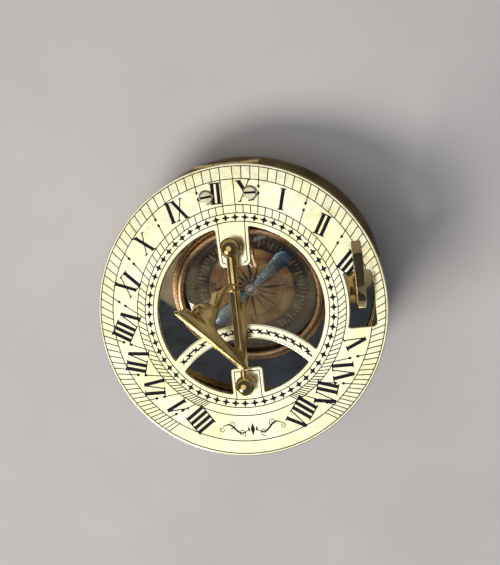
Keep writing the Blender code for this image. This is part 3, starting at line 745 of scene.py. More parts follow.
class Finishes:
    """Every finish of the instrument, made once."""

    def __init__(self) -> None:
        """Build the materials."""
        cream, straw = (0.95, 0.90, 0.64), (0.88, 0.80, 0.46)
        gold, toned = (0.74, 0.54, 0.23), (0.50, 0.34, 0.12)
        self.ring = Metal("ring_brass", cream, straw, (0.16, 0.3), Grain.BRUSHED, 0.003 * MM,
                          DIAL).material()
        self.pale = Metal("pale_brass", cream, straw, (0.14, 0.28)).material()
        self.gold = Metal("gold_brass", gold, toned, (0.1, 0.22)).material()
        self.screw = Metal("screw_brass", (0.72, 0.64, 0.44), (0.52, 0.44, 0.28),
                           (0.2, 0.34)).material()
        self.arc = Metal("arc_brass", (0.42, 0.32, 0.15), (0.24, 0.17, 0.07), (0.08, 0.16)).material()
        self.turned = Metal("turned_brass", (0.50, 0.37, 0.17), (0.30, 0.20, 0.08), (0.12, 0.26),
                            Grain.TURNED, 0.006 * MM).material()
        self.deck = Metal("deck_brass", (0.50, 0.45, 0.38), (0.34, 0.29, 0.22), (0.04, 0.1)).material()
        self.copper = Metal("copper_bezel", (0.52, 0.34, 0.20), (0.36, 0.21, 0.11), (0.2, 0.3),
                            Grain.TURNED, 0.001 * MM).material()
        self.steel = Metal("bright_steel", (0.72, 0.70, 0.70), (0.5, 0.48, 0.5),
                           (0.14, 0.26)).material()
        self.blued = Metal("blued_steel", (0.36, 0.47, 0.58), (0.22, 0.30, 0.40), (0.14, 0.26),
                           Grain.BRUSHED).material()
        self.cap = Metal("cap_brass", (0.88, 0.78, 0.72), (0.62, 0.5, 0.46), (0.34, 0.46),
                         Grain.TURNED).material()
        # Dark wax of the engravings; the same material is also laid in the screw slots as painted shade.
        self.wax = Enamel("engraving_wax_and_slot_shade", (0.006, 0.004, 0.009), (0.02, 0.015, 0.028)).material()
        self.ink = Enamel("card_ink", (0.012, 0.008, 0.008), (0.04, 0.025, 0.02), 0.5).material()
        self.card = Paper("card_copper", ((0.28, 0.13, 0.035), (0.54, 0.28, 0.08),
                                          (0.74, 0.45, 0.14))).material()
        self.gilt = Enamel("card_gilt", (0.42, 0.27, 0.10), (0.62, 0.42, 0.17), 0.5).material()
        self.scale = Paper("card_scale", ((0.045, 0.025, 0.012), (0.10, 0.06, 0.026),
                                          (0.22, 0.14, 0.06))).material()
        self.crystal = Crystal("crystal").material()
        self.gasket = Matt("gasket_black", (0.01, 0.01, 0.01), (0.03, 0.03, 0.03), (0.55, 0.75),
                           600.0).material()
        self.floor = Matt("pale_floor", (0.60, 0.57, 0.555), (0.66, 0.63, 0.615), (0.6, 0.8),
                          14.0).material()


def dress(node: str, material: Material) -> None:
    """Give a piece of the frame that stays its finish."""
    data = frame["nodes"][node].data
    data.materials.clear()
    data.materials.append(material)


# ------------------------------------------------------------------ screws


@dataclass
class SlottedScrew:
    """A cheese-head screw with a crowned, slotted head."""

    name: str
    node: str
    body: str
    head_radius: float
    head_height: float
    shank_radius: float
    seat: float
    depth: float
    slot_turn: float = 0.0

    def build(self, material: Material, shade: Material, place: Matrix) -> None:
        """Make the screw.

        Args:
            material: Its finish.
            shade: Material of the dark strip laid on the slot floor as painted shade.
            place: Matrix of the screw's axis at height 0.
        """
        r, h = self.head_radius, self.head_height
        flank = self.seat + h * 0.6
        crown = crown_points(r, h * 0.42, flank)
        profile = [(0.0, self.depth), (self.shank_radius, self.depth), (self.shank_radius, self.seat),
                   (r * 0.97, self.seat), (r, self.seat + h * 0.1)] + crown[:-1] + [(0.0, crown[-1][1])]
        bm = lathe(profile, ROUND, closed=False)
        floor = self.seat + h * 0.5
        half = r * 0.16
        for edge in (half, -half):
            bmesh.ops.bisect_plane(bm, geom=[*bm.verts, *bm.edges, *bm.faces], plane_co=(0, edge, 0),
                                   plane_no=(0, 1, 0), dist=MERGE)
        groove = [f for f in bm.faces if abs(f.calc_center_median().y) < half
                  and f.calc_center_median().z > floor and abs(f.normal.z) > 0.2]
        sunk = bmesh.ops.extrude_face_region(bm, geom=groove)
        low = [v for v in sunk["geom"] if isinstance(v, bmesh.types.BMVert)]
        bmesh.ops.delete(bm, geom=groove, context="FACES_ONLY")
        for vert in low:
            vert.co.z = floor
        seat = place @ turn("Z", self.slot_turn)
        Piece(self.name, bm, material, self.body, "pale_brass", seat, (self.node,)).build()
        # A dark strip on the slot floor: painted shade, standing for the shadow deep in the slot.
        slot_shade_strip = Engraving()
        slot_shade_strip.line((-r * 0.86, 0.0), (r * 0.86, 0.0), half * 1.96)
        Piece(self.name + "_slot", slot_shade_strip.raised(floor, ENGRAVING_DEPTH), shade, self.body, "pale_brass",
              seat).build()


# ------------------------------------------------------------------ box


@dataclass
class Box:
    """The round box: outer wall, bottom and deck."""

    rim_radius: float = 48.0 * MM
    rim_height: float = 17.5 * MM
    wall_radius: float = 47.2 * MM
    wall: float = 1.7 * MM
    foot_radius: float = 48.3 * MM
    foot_height: float = 2.4 * MM
    ledge: float = 1.8 * MM
    notch_half: float = 11.95 * MM

    def section(self) -> list[Point]:
        """The wall's turned section, from the foot round to the inside."""
        inner = self.wall_radius - self.wall
        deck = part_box("deck_plate")[0].z - 0.3 * MM
        bead = self.rim_height - 2.9 * MM
        groove = 0.35 * MM
        return [
            (inner, 0.0), (self.foot_radius - 0.5 * MM, 0.0), (self.foot_radius, 0.5 * MM),
            (self.foot_radius, self.foot_height - 0.4 * MM),
            (self.foot_radius - 0.7 * MM, self.foot_height),
            (self.wall_radius, self.foot_height + 0.3 * MM), (self.wall_radius, 6.4 * MM),
            (self.wall_radius - groove, 6.6 * MM), (self.wall_radius - groove, 6.9 * MM),
            (self.wall_radius, 7.1 * MM), (self.wall_radius, bead - 0.9 * MM),
            (self.wall_radius - groove, bead - 0.6 * MM), (self.wall_radius - groove, bead - 0.1 * MM),
            (self.rim_radius, bead + 0.4 * MM), (self.rim_radius, self.rim_height - 0.6 * MM),
            (self.rim_radius - 0.6 * MM, self.rim_height), (inner + 0.3 * MM, self.rim_height),
            (inner, self.rim_height - 0.3 * MM), (inner, deck), (inner - self.ledge, deck),
            (inner - self.ledge, deck - 1.2 * MM), (inner, deck - 1.2 * MM - self.ledge),
            (inner, 5.4 * MM), (inner - self.ledge, 3.6 * MM), (inner - self.ledge, 2.3 * MM),
            (inner, 2.3 * MM),
        ]

    def build(self, finishes: Finishes) -> None:
        """Make the wall, cut its hinge notch, and dress the deck and bottom."""
        wall = lathe(turned_section(self.section(), 0.25 * MM), FINE)
        bmesh.ops.recalc_face_normals(wall, faces=wall.faces)
        deck_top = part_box("deck_plate")[1].z
        item = Piece("box_wall", wall, finishes.turned, "base", "gold_brass",
                     replaces=("base_housing",)).build()
        notch = bmesh.new()
        bmesh.ops.create_cube(notch, size=1.0)
        moved(notch, at(0.0, self.wall_radius, deck_top + self.rim_height / 2)
              @ Matrix.Diagonal((self.notch_half * 2, self.wall * 6, self.rim_height, 1.0)))
        carve(item, notch)
        dress("bottom_cover", finishes.gold)
        dress("deck_plate", finishes.deck)


def carve(item: bpy.types.Object, cutter: Shape) -> None:
    """Subtract a shape from a finished piece.

    Args:
        item: The piece, whose mesh is replaced.
        cutter: The shape to take away, which is freed.
    """
    mesh = bpy.data.meshes.new("cutter")
    cutter.to_mesh(mesh)
    cutter.free()
    tool = bpy.data.objects.new("cutter", mesh)
    show(tool)
    step = item.modifiers.new("carve", "BOOLEAN")
    step.operation = "DIFFERENCE"
    step.solver = "EXACT"
    step.object = tool
    result = bpy.data.meshes.new_from_object(item.evaluated_get(bpy.context.evaluated_depsgraph_get()))
    item.modifiers.remove(step)
    item.data = result
    result.shade_smooth()
    result.set_sharp_from_angle(angle=math.radians(30.0))
    bpy.data.objects.remove(tool)


# ------------------------------------------------------------------ hinge


@dataclass
class Hinge:
    """The butt hinge between box and ring: two leaves with interleaved knuckles."""

    width: float = 23.0 * MM
    middle: float = 9.0 * MM
    gap: float = 0.3 * MM
    pin_radius: float = 0.9 * MM
    leaf: float = 14.0 * MM
    thickness: float = 1.3 * MM
    inset: float = 0.1 * MM

    def section(self, side: int, knuckle: bool) -> Outline:
        """Section of a leaf in (y, z).

        Args:
            side: -1 for the leaf below the axis, 1 for the one above.
            knuckle: Whether the barrel is there, or only the plate.

        Returns:
            The outline.
        """
        outer = KNUCKLE_RADIUS - self.inset
        inner = outer - self.thickness
        if not knuckle:
            clear = KNUCKLE_RADIUS + 0.5 * MM
            plate = [(-self.leaf, outer), (-self.leaf, inner), (-clear, inner), (-clear, outer)]
            return [(y, side * z) for y, z in plate]
        near = math.degrees(math.asin(inner / KNUCKLE_RADIUS))
        far = math.degrees(math.asin(outer / KNUCKLE_RADIUS))
        barrel = arc((0.0, 0.0), KNUCKLE_RADIUS, 180.0 - near, 180.0 - near - 360.0 + (far - near),
                     ROUND)
        outline = [(-self.leaf, outer), (-self.leaf, inner)] + barrel
        return [(y, side * z) for y, z in outline]

    def leaf_shape(self, side: int) -> Shape:
        """One leaf with its knuckles, along the X axis.

        Args:
            side: -1 for the leaf below the axis, 1 for the one above.

        Returns:
            The shape.
        """
        half, middle = self.width / 2, self.middle / 2
        bore = circle(self.pin_radius + 0.15 * MM)
        if side > 0:
            knuckles, plain = [(-middle, middle)], [(-half, -middle), (middle, half)]
        else:
            knuckles = [(-half, -middle - self.gap), (middle + self.gap, half)]
            plain = [(-middle - self.gap, middle + self.gap)]
        parts = [slab([self.section(side, True), bore], low, high, 0.12 * MM) for low, high in knuckles]
        parts += [slab([self.section(side, False)], low, high, 0.05 * MM) for low, high in plain]
        return moved(joined(parts), SIDEWAYS)

    def build(self, finishes: Finishes) -> None:
        """Make both leaves and dress the pin and nuts."""
        axis = at(*joint("lid_hinge")["pos_m"])
        Piece("hinge_leaf_of_base", self.leaf_shape(-1), finishes.gold, "base", "gold_brass", axis,
              ("hinge_base_leaf",)).build()
        Piece("hinge_leaf_of_lid", self.leaf_shape(1), finishes.gold, "lid", "gold_brass", LID,
              ("hinge_lid_leaf",)).build()
        dress("hinge_pin", finishes.steel)
        for side, x in (("west", -2.7 * MM), ("east", 2.7 * MM)):
            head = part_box("deck_screw_" + side)
            spot = at(x, (head[0].y + head[1].y) / 2, 0.0)
            SlottedScrew("deck_screw_head_" + side, "deck_screw_" + side, "base", 1.9 * MM, 0.8 * MM,
                         0.9 * MM, head[1].z - 0.8 * MM, head[0].z, 24.0 * x / abs(x)
                         ).build(finishes.pale, finishes.wax, spot)
            dress("hinge_nut_" + side, finishes.pale)


# ------------------------------------------------------------------ compass


@dataclass
class Compass:
    """Bowl, printed card, needle, crystal and stepped bezel."""

    bezel_radius: float = 29.3 * MM
    lip_radius: float = 24.5 * MM
    bowl_radius: float = 27.0 * MM
    seat_gap: float = 0.3 * MM
    card_radius: float = 25.2 * MM
    needle_half: float = 20.5 * MM
    needle_width: float = 6.2 * MM
    needle_bearing: float = 50.0
    cap_radius: float = 2.3 * MM
    print_height: float = 0.03 * MM

    def build(self, finishes: Finishes) -> None:
        """Make every piece of the compass."""
        self.build_bezel(finishes)
        self.build_card(finishes)
        self.build_needle(finishes)
        dress("compass_bowl", finishes.turned)
        dress("needle_pivot", finishes.steel)
        dress("glass_gasket", finishes.gasket)
        low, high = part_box("compass_glass")
        disc = slab([circle(high.x, 120)], low.z, high.z, 0.12 * MM)
        Piece("crystal_disc", disc, finishes.crystal, "base", "crystal",
              replaces=("compass_glass",)).build()

    def build_bezel(self, finishes: Finishes) -> None:
        """Make the bezel, turned with three steps and fine beads."""
        low, high = (corner.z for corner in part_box("compass_bezel"))
        r, rise = self.bezel_radius, high - low
        lip_bottom = high - 1.0 * MM
        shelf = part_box("compass_bowl")[1].z + self.seat_gap
        seat = self.bowl_radius + self.seat_gap
        recess = self.card_radius + self.seat_gap
        section = [
            (seat, low), (r, low), (r, low + rise * 0.26), (r - 0.5 * MM, low + rise * 0.34),
            (r - 0.7 * MM, low + rise * 0.30), (r - 1.0 * MM, low + rise * 0.36),
            (r - 1.1 * MM, low + rise * 0.58), (r - 1.5 * MM, low + rise * 0.66),
            (r - 1.8 * MM, low + rise * 0.62), (r - 2.1 * MM, low + rise * 0.84),
            (r - 2.6 * MM, high - 0.1 * MM), (r - 3.0 * MM, high - 0.1 * MM), (r - 3.2 * MM, high),
            (self.lip_radius + 0.9 * MM, high), (self.lip_radius + 0.7 * MM, high - 0.15 * MM),
            (self.lip_radius + 0.5 * MM, high - 0.12 * MM), (self.lip_radius, high - 0.55 * MM),
            (self.lip_radius, lip_bottom), (recess, lip_bottom), (recess, shelf), (seat, shelf),
        ]
        Piece("bezel_ring", lathe(turned_section(section, 0.16 * MM), FINE), finishes.copper, "base",
              "gold_brass", replaces=("compass_bezel",)).build()

    def build_card(self, finishes: Finishes) -> None:
        """Make the card and print its rose, scale and letters."""
        low, high = (corner.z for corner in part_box("compass_card"))
        outline = circle(self.card_radius, 120)
        hole = circle(1.3 * MM)
        Piece("card_disc", slab([outline, hole], low, high, 0.05 * MM), finishes.card, "base", "card",
              replaces=("compass_card",)).build()
        scale = slab([circle(24.9 * MM, 120), circle(16.2 * MM, 120)],
                     high, high + self.print_height / 2, 0.005 * MM)
        Piece("card_scale_ring", scale, finishes.scale, "base", "card").build()
        ink = Engraving()
        for radius, width in ((24.2, 0.25), (21.6, 0.2), (20.2, 0.35), (16.2, 0.3), (15.6, 0.12),
                              (11.8, 0.16),
                              (4.2, 0.16)):
            ink.band((0.0, 0.0), radius * MM, width * MM, 0.0, 360.0, 96)
        self.print_rose(ink)
        gilt = Engraving()
        self.print_scale(gilt)
        Piece("card_scale_printing", gilt.raised(high + self.print_height / 4, self.print_height),
              finishes.gilt,
              "base", "card").build()
        Piece("card_printing", ink.raised(high - self.print_height, 2 * self.print_height),
              finishes.ink,
              "base", "card").build()

    def print_scale(self, ink: Engraving) -> None:
        """Print the degree ticks and the ring of figures."""
        for degree in range(0, 360, 2):
            outer = 24.2 if degree % 10 else 24.6
            ink.line(polar(21.6 * MM, degree), polar(outer * MM, degree), 0.26 * MM)
        for degree in range(0, 360, 5):
            long = degree % 15 == 0
            ink.line(polar((17.0 if long else 18.9) * MM, degree + 2.5),
                     polar(20.2 * MM, degree + 2.5), (0.7 if long else 0.45) * MM)
        for degree in range(0, 360, 30):
            place = at(*polar(18.2 * MM, degree), 0.0) @ turn("Z", -degree)
            ink.letters(str(degree), 2.6 * MM, place)

    def print_rose(self, ink: Engraving) -> None:
        """Print the star's half-dark rays and the letters of the winds."""
        for i in range(16):
            bearing = i * 22.5
            reach = (15.4, 11.6, 13.6, 11.6)[i % 4] * MM
            waist = (5.6, 4.2, 5.0, 4.2)[i % 4] * MM
            ink.polygon([polar(2.4 * MM, bearing), polar(waist, bearing + 11.0), polar(reach, bearing)])
        for i in range(72):
            ink.line(polar(12.0 * MM, i * 5.0), polar(12.8 * MM, i * 5.0), 0.14 * MM)
        for text, bearing, size in (("N", 0.0, 4.2), ("E", 90.0, 3.6), ("S", 180.0, 3.6),
                                    ("W", 270.0, 3.6),
                                    ("NE", 45.0, 2.2), ("SE", 135.0, 2.2), ("SW", 225.0, 2.2),
                                    ("NW", 315.0, 2.2)):
            ink.letters(text, size * MM, at(*polar(14.2 * MM,
                                                   bearing + (8.0 if len(text) == 1 else 9.0)), 0.0)
                        @ turn("Z", -bearing))

    def build_needle(self, finishes: Finishes) -> None:
        """Make the needle and its cap."""
        low, high = (corner.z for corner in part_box("compass_needle"))
        tip, wide, hub = self.needle_half, self.needle_width / 2, self.cap_radius + 0.1 * MM
        east = [(hub, 0.0), (hub * 0.86, hub * 0.5), (hub * 0.45, hub * 1.1), (wide, tip * 0.86),
                (wide * 0.6, tip * 0.97), (0.0, tip)]
        north = east + [(-x, y) for x, y in reversed(east[1:-1])]
        outline = north + [(-x, -y) for x, y in north]
        hole = circle(1.5 * MM)
        bearing = turn("Z", -self.needle_bearing)
        Piece("needle_blade", slab([rounded(outline, 0.5 * MM), hole], low, high, 0.09 * MM),
              finishes.blued, "needle", "blued_steel", bearing, ("compass_needle",)).build()
        base, top = (corner.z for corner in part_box("needle_cap"))
        flange = high + 0.3 * MM
        r = self.cap_radius
        dome = crown_points(r * 0.72, top - flange - 0.5 * MM, flange + 0.5 * MM)
        profile = ([(0.0, top - 0.5 * MM), (0.55 * MM, top - 0.7 * MM), (0.55 * MM, base),
                    (1.2 * MM, base),
                    (1.2 * MM, flange), (r - 0.1 * MM, flange), (r, flange + 0.1 * MM),
                    (r, flange + 0.4 * MM),
                    (r - 0.12 * MM, flange + 0.5 * MM)] + dome[:-1] + [(0.0, top)])
        Piece("needle_bearing_cap", lathe(profile, ROUND, closed=False), finishes.cap, "needle",
              "pale_brass", replaces=("needle_cap",)).build()


# ------------------------------------------------------------------ hour ring


@dataclass
class Numeral:
    """Roman numerals drawn with thick and thin strokes and slab serifs."""

    height: float = 7.5 * MM
    thick: float = 1.25 * MM
    thin: float = 0.42 * MM
    serif: float = 0.42 * MM
    wing: float = 0.4 * MM
    pitch: float = 2.0 * MM
    v_width: float = 3.7 * MM
    x_width: float = 4.5 * MM

    def width(self, letter: str) -> float:
        """The room that a letter takes."""
        return {"I": self.pitch, "V": self.v_width + 0.6 * MM, "X": self.x_width + 0.6 * MM}[letter]

    def slanted(self, foot: float, head: float, weight: float) -> Outline:
        """A stroke from the foot line to the head line with level ends."""
        h = self.height / 2
        w = weight / 2
        return [(foot - w, -h), (foot + w, -h), (head + w, h), (head - w, h)]

    def foot_bar(self, middle: float, half: float, top: bool) -> Outline:
        """A serif across a stroke's end."""
        h = self.height / 2
        low, high = (h - self.serif, h) if top else (-h, -h + self.serif)
        return [(middle - half, low), (middle + half, low), (middle + half, high),
                (middle - half, high)]

    def letter(self, letter: str) -> list[Outline]:
        """The outlines of one letter, centred on the origin.

        Args:
            letter: I, V or X.

        Returns:
            Its strokes and serifs.
        """
        bar = self.thick / 2 + self.wing
        small = self.thin / 2 + self.wing
        if letter == "I":
            return [self.slanted(0.0, 0.0, self.thick), self.foot_bar(0.0, bar, True),
                    self.foot_bar(0.0, bar, False)]
        if letter == "V":
            left, right = -self.v_width / 2 + self.thick / 2, self.v_width / 2
            return [self.slanted(0.0, left, self.thick), self.slanted(0.2 * MM, right, self.thin),
                    self.foot_bar(left, bar * 0.95, True), self.foot_bar(right, small, True)]
        left, right = -self.x_width / 2 + self.thick / 2, self.x_width / 2 - self.thick / 2
        return [self.slanted(right, left, self.thick), self.slanted(left, right, self.thin),
                self.foot_bar(left, bar * 0.9, True), self.foot_bar(right, small, True),
                self.foot_bar(left, small, False), self.foot_bar(right, bar * 0.9, False)]

    def write(self, wax: Engraving, text: str, middle: Point, bearing: float) -> None:
        """Engrave a numeral with its head towards the ring's centre.

        Args:
            wax: Where to draw it.
            text: The numeral.
            middle: Its centre.
            bearing: Direction of its foot, in degrees clockwise from north.
        """
        away = Vector(polar(1.0, bearing))
        reading = Vector((-away.y, away.x))
        cursor = -sum(self.width(letter) for letter in text) / 2
        for letter in text:
            cursor += self.width(letter) / 2
            for outline in self.letter(letter):
                wax.polygon([tuple(Vector(middle) + reading * (u + cursor) - away * v) for u,
                             v in outline])
            cursor += self.width(letter) / 2


@dataclass
class HourRing:
    """The hour ring: a cut and bevelled plate and everything engraved on it."""

    window_radius: float = 29.3 * MM
    north_tab: tuple[float, float, float] = (15.3 * MM, 5.9 * MM, 5.5 * MM)
    south_tab: tuple[float, float] = (19.9 * MM, 5.6 * MM)
    tab_chamfer: float = 1.3 * MM
    band_radius: float = 31.5 * MM
    band_width: float = 5.0 * MM
    band_centre: float = 38.7 * MM
    slot: tuple[float, float, float, float] = (37.8 * MM, 46.4 * MM, 9.6 * MM, 9.4 * MM)
    circles: tuple[float, ...] = (49.9 * MM, 45.5 * MM, 36.6 * MM, 33.8 * MM, 30.9 * MM)
    line_width: float = 0.33 * MM
    fan_east: float = 2.2 * MM
    fan_south: float = 24.0 * MM
    screw_half: float = 7.7 * MM
    screw_north: float = 40.1 * MM
    posts: tuple[float, float] = (POST_NORTH, POST_SOUTH)
    numeral: Numeral = field(default_factory=Numeral)

    def meeting(self, radius: float, centre_y: float, other: float) -> float:
        """Angle on a circle about the origin where it meets one centred on the Y axis."""
        return math.degrees(math.asin((radius ** 2 + centre_y ** 2 - other ** 2) / (2 * radius * centre_y)))

    def window(self, band_edge: float, root: float, steps: int, tab: Outline) -> Outline:
        """A window between the ring, a tab and the cross band.

        Args:
            band_edge: Radius of the band's edge on the window's side.
            root: Angle at which the tab leaves the ring, in degrees anticlockwise from +X.
            steps: Steps along the ring.
            tab: The tab's corners east of the axis.

        Returns:
            The outline, the same on both sides of the axis.
        """
        meet = self.meeting(self.window_radius, -self.band_centre, band_edge)
        east = arc(ORIGIN, self.window_radius, meet, root, steps)
        start = math.degrees(math.atan2(east[0][1] + self.band_centre, east[0][0]))
        band = arc((0.0, -self.band_centre), band_edge, start, 90.0, 28)
        half = list(reversed(band))[:-1] + east + tab
        return rounded(half + [(-x, y) for x, y in reversed(half[1:])], 0.6 * MM)

    def upper_window(self) -> Outline:
        """Window between the ring, the north tab and the cross band."""
        tip, root, tip_half = self.north_tab
        tab = [(tip_half, tip + self.tab_chamfer), (tip_half - self.tab_chamfer, tip)]
        return self.window(self.band_radius + self.band_width / 2,
                           math.degrees(math.acos(root / self.window_radius)), 48, tab)

    def lower_window(self) -> Outline:
        """Lens between the cross band, the ring and the south tab."""
        tip, half_tab = self.south_tab
        chamfer = self.tab_chamfer / 2
        return self.window(self.band_radius - self.band_width / 2,
                           -math.degrees(math.acos(half_tab / self.window_radius)), 28,
                           [(half_tab, -tip - chamfer), (half_tab - chamfer, -tip)])

    def arc_slot(self) -> Outline:
        """Slot for the latitude arc."""
        inner, outer, north, south = self.slot
        side = arc((0.0, 0.0), inner, math.degrees(math.asin(north / inner)),
                   -math.degrees(math.asin(south / inner)), 16)
        return rounded(side + [(outer, -south), (outer, north)], 1.5 * MM)

    def build(self, finishes: Finishes) -> None:
        """Make the plate, its engraving and its screws."""
        outer = circle(DIAL_RADIUS, 180)
        holes = [circle(1.5 * MM, 24, (x, self.screw_north)) for x in (-self.screw_half, self.screw_half)]
        holes += [circle(1.4 * MM, 24, (0.0, y)) for y in self.posts]
        plate = slab([outer, self.upper_window(), self.lower_window(), self.arc_slot(), *holes],
                     PLATE_BOTTOM, PLATE_TOP, 0.28 * MM, 3)
        Piece("hour_ring_plate", plate, finishes.ring, "lid", "pale_brass", DIAL,
              ("dial_plate",)).build()
        for name, draw in (("circles", self.draw_circles), ("ten_minute_lines", self.draw_ticks),
                           ("half_hour_marks", self.draw_half_hours),
                           ("hour_numerals", self.draw_numerals),
                           ("star_border", self.draw_stars), ("band_chain", self.draw_chain),
                           ("tab_outlines", self.draw_tabs), ("flourish", self.draw_flourish)):
            wax = Engraving()
            draw(wax)
            Piece("engraved_" + name, wax.raised(PLATE_TOP + ENGRAVING_RISE - ENGRAVING_DEPTH,
                                                 ENGRAVING_DEPTH),
                  finishes.wax, "lid", "pale_brass", DIAL).build()
        for side, x, slot_turn in (("west", -self.screw_half, 4.0), ("east", self.screw_half, -3.0)):
            SlottedScrew("lid_screw_" + side, "hinge_screw_" + side, "lid", 2.55 * MM, 0.9 * MM,
                         1.2 * MM,
                         PLATE_TOP + 0.3 * MM, -0.3 * MM, slot_turn
                         ).build(finishes.screw, finishes.wax, DIAL @ at(x, self.screw_north, 0.0))

    def reach(self, hour: float, radius: float) -> Point:
        """Where an hour's line crosses a circle about the ring's centre.

        Args:
            hour: Hours from noon, negative in the morning.
            radius: The circle's radius.

        Returns:
            The crossing, east of the noon gap in the afternoon and west of it in the morning.
        """
        side = math.copysign(1.0, hour)
        ahead = Vector(polar(1.0, hour * 15.0))
        root = Vector((side * self.fan_east, -self.fan_south))
        along = root.dot(ahead)
        length = -along + math.sqrt(along ** 2 - root.length_squared + radius ** 2)
        return tuple(root + ahead * length)

    def blocked(self, point: Point) -> bool:
        """Whether a point lies in the arc's slot or right beside it."""
        inner, outer, north, south = self.slot
        edge = 0.3 * MM
        return inner - edge < point[0] < outer + edge and -south - edge < point[1] < north + edge

    def stroke(self, wax: Engraving, start: Point, end: Point, width: float) -> None:
        """Engrave a straight line where it doesn't cross the slot, shortened at its edge."""
        pieces = 16
        points = [Vector(start).lerp(Vector(end), i / pieces) for i in range(pieces + 1)]
        free = [p for p in points if not self.blocked(tuple(p))]
        if len(free) >= 3:
            wax.line(tuple(free[0]), tuple(free[-1]), width)

    def draw_circles(self, wax: Engraving) -> None:
        """Engrave the border circles, broken at the slot."""
        _, outer, north, south = self.slot
        for radius in self.circles:
            inside = self.slot[0] < radius < math.hypot(outer, max(north, south))
            if inside:
                first = math.degrees(math.asin((north + 0.3 * MM) / radius))
                last = 360.0 - math.degrees(math.asin((south + 0.3 * MM) / radius))
            else:
                first, last = 0.0, 360.0
            wax.band((0.0, 0.0), radius, self.line_width, first, last, 180)

    def draw_ticks(self, wax: Engraving) -> None:
        """Engrave the ten-minute lines in both scales, six to an hour."""
        outer, upper, lower, inner, _ = self.circles
        for i in range(0, 49):
            for side in (-1, 1):
                hour = side * max(i / 6.0, 1e-6)
                self.stroke(wax, self.reach(hour, upper), self.reach(hour, outer), self.line_width)
                self.stroke(wax, self.reach(hour, inner), self.reach(hour, lower), self.line_width)
        for side in (-1e-6, 1e-6):
            self.stroke(wax, self.reach(side, lower), self.reach(side, upper), self.line_width)

    def draw_half_hours(self, wax: Engraving) -> None:
        """Engrave a line with two diamonds across the numeral band at each half hour."""
        _, upper, lower, _, _ = self.circles
        for i in range(8):
            for side in (-1, 1):
                hour = side * (i + 0.5)
                start, end = Vector(self.reach(hour, upper)), Vector(self.reach(hour, lower))
                ahead = (end - start).normalized()
                across = ahead.orthogonal()
                for share, toward in ((0.24, -1), (0.50, 1)):
                    middle = start.lerp(end, share)
                    if any(self.blocked(tuple(middle + ahead * k * MM)) for k in (-1.5, 0.0, 1.5)):
                        continue
                    wax.polygon([tuple(middle + ahead * 0.85 * MM), tuple(middle + across * 0.55 * MM),
                                 tuple(middle - ahead * 0.85 * MM), tuple(middle - across * 0.55 * MM)])
                    self.stroke(wax, tuple(middle), tuple(start if toward < 0 else end),
                                self.line_width)

    def draw_numerals(self, wax: Engraving) -> None:
        """Engrave the hours from four in the morning to eight in the evening."""
        names = ("XII", "I", "II", "III", "IIII", "V", "VI", "VII", "VIII", "IX", "X", "XI")
        middle = (self.circles[1] + self.circles[2]) / 2
        for hour in range(-8, 9):
            if hour in (0, 4):
                continue
            late = max(0, abs(hour) - 6)
            spot = Vector(self.reach(hour, middle)) if hour else Vector((0.0, middle))
            crowding = (0.0, 0.8, 6.0) if hour > 0 else (0.0, 2.2, 5.2)
            shift = turn("Z", -math.copysign(crowding[late], hour))
            spot = (shift @ spot.to_3d()).to_2d()
            lean = hour * 15.0 + math.copysign((0.0, 2.0, 5.0)[late], hour)
            self.numeral.write(wax, names[hour % 12], tuple(spot), lean)
        Numeral(x_width=5.4 * MM, thick=1.5 * MM).write(wax, "X", (5.9 * MM, middle), 0.0)
        self.numeral.write(wax, "II", (-4.3 * MM, middle), 0.0)

    def draw_stars(self, wax: Engraving) -> None:
        """Engrave the border of four-pointed stars."""
        middle = (self.circles[3] + self.circles[4]) / 2
        for i in range(60):
            bearing = 3.0 + i * 6.0
            centre = polar(middle, bearing)
            points = []
            for k in range(8):
                reach = ((1.4 if k % 4 == 0 else 1.65) if k % 2 == 0 else 0.62) * MM
                x, y = polar(reach, bearing + k * 45.0)
                points.append((centre[0] + x, centre[1] + y))
            wax.polygon(points)

    def draw_chain(self, wax: Engraving) -> None:
        """Engrave a chain of crosses and links along the cross band."""
        limit = 44.0
        step = 5.5
        count = int(limit / step)
        for i in range(-count, count + 1):
            bearing = i * step
            x, y = polar(self.band_radius, bearing)
            centre = Vector((x, y - self.band_centre))
            if centre.length > self.circles[4] - 0.2 * MM:
                continue
            for k in range(4):
                tip = Vector(polar((1.7 if k % 2 else 1.35) * MM, bearing + 45.0 + k * 90.0))
                side = tip.orthogonal().normalized() * 0.5 * MM
                wax.polygon([centre + tip, centre + side, centre - tip * 0.2,
                             centre - side])
            ahead = polar(self.band_radius + (0.35 if i % 2 else -0.35) * MM, bearing + step / 2)
            middle = Vector((ahead[0], ahead[1] - self.band_centre))
            if middle.length < self.circles[4] - 1.2 * MM:
                turned_by = Vector(polar(1.0, bearing + step / 2 + 90.0))
                wax.line(middle - turned_by * 0.8 * MM, middle + turned_by * 0.8 * MM, 0.55 * MM)
        for shift in (-1.0, 1.0):
            radius = self.band_radius + shift * (self.band_width / 2 - 0.5 * MM)
            wax.band((0.0, -self.band_centre), radius, 0.16 * MM, 90.0 - limit * 0.93,
                     90.0 + limit * 0.93, 60)

    def draw_tabs(self, wax: Engraving) -> None:
        """Engrave a line round the inside of both tabs."""
        inset = 1.15 * MM
        edge = self.circles[4]
        tip, root, tip_half = self.north_tab
        north = [(root - inset, edge), (tip_half - inset, tip + self.tab_chamfer + inset * 0.4),
                 (tip_half - inset - self.tab_chamfer, tip + inset)]
        south_tip, half = self.south_tab
        south = [(half - inset, -edge), (half - inset, -south_tip - inset), (0.0, -south_tip - inset)]
        for outline in (north, south):
            for a, b in zip(outline, outline[1:]):
                wax.line(a, b, self.line_width)
                wax.line((-a[0], a[1]), (-b[0], b[1]), self.line_width)

    def draw_flourish(self, wax: Engraving) -> None:
        """Engrave a plain scroll ornament in the empty lower part of the band."""
        radius = (self.circles[1] + self.circles[2]) / 2 + 0.4 * MM

        def spot(bearing: float, out: float) -> Point:
            return polar(radius + out, 180.0 + bearing)

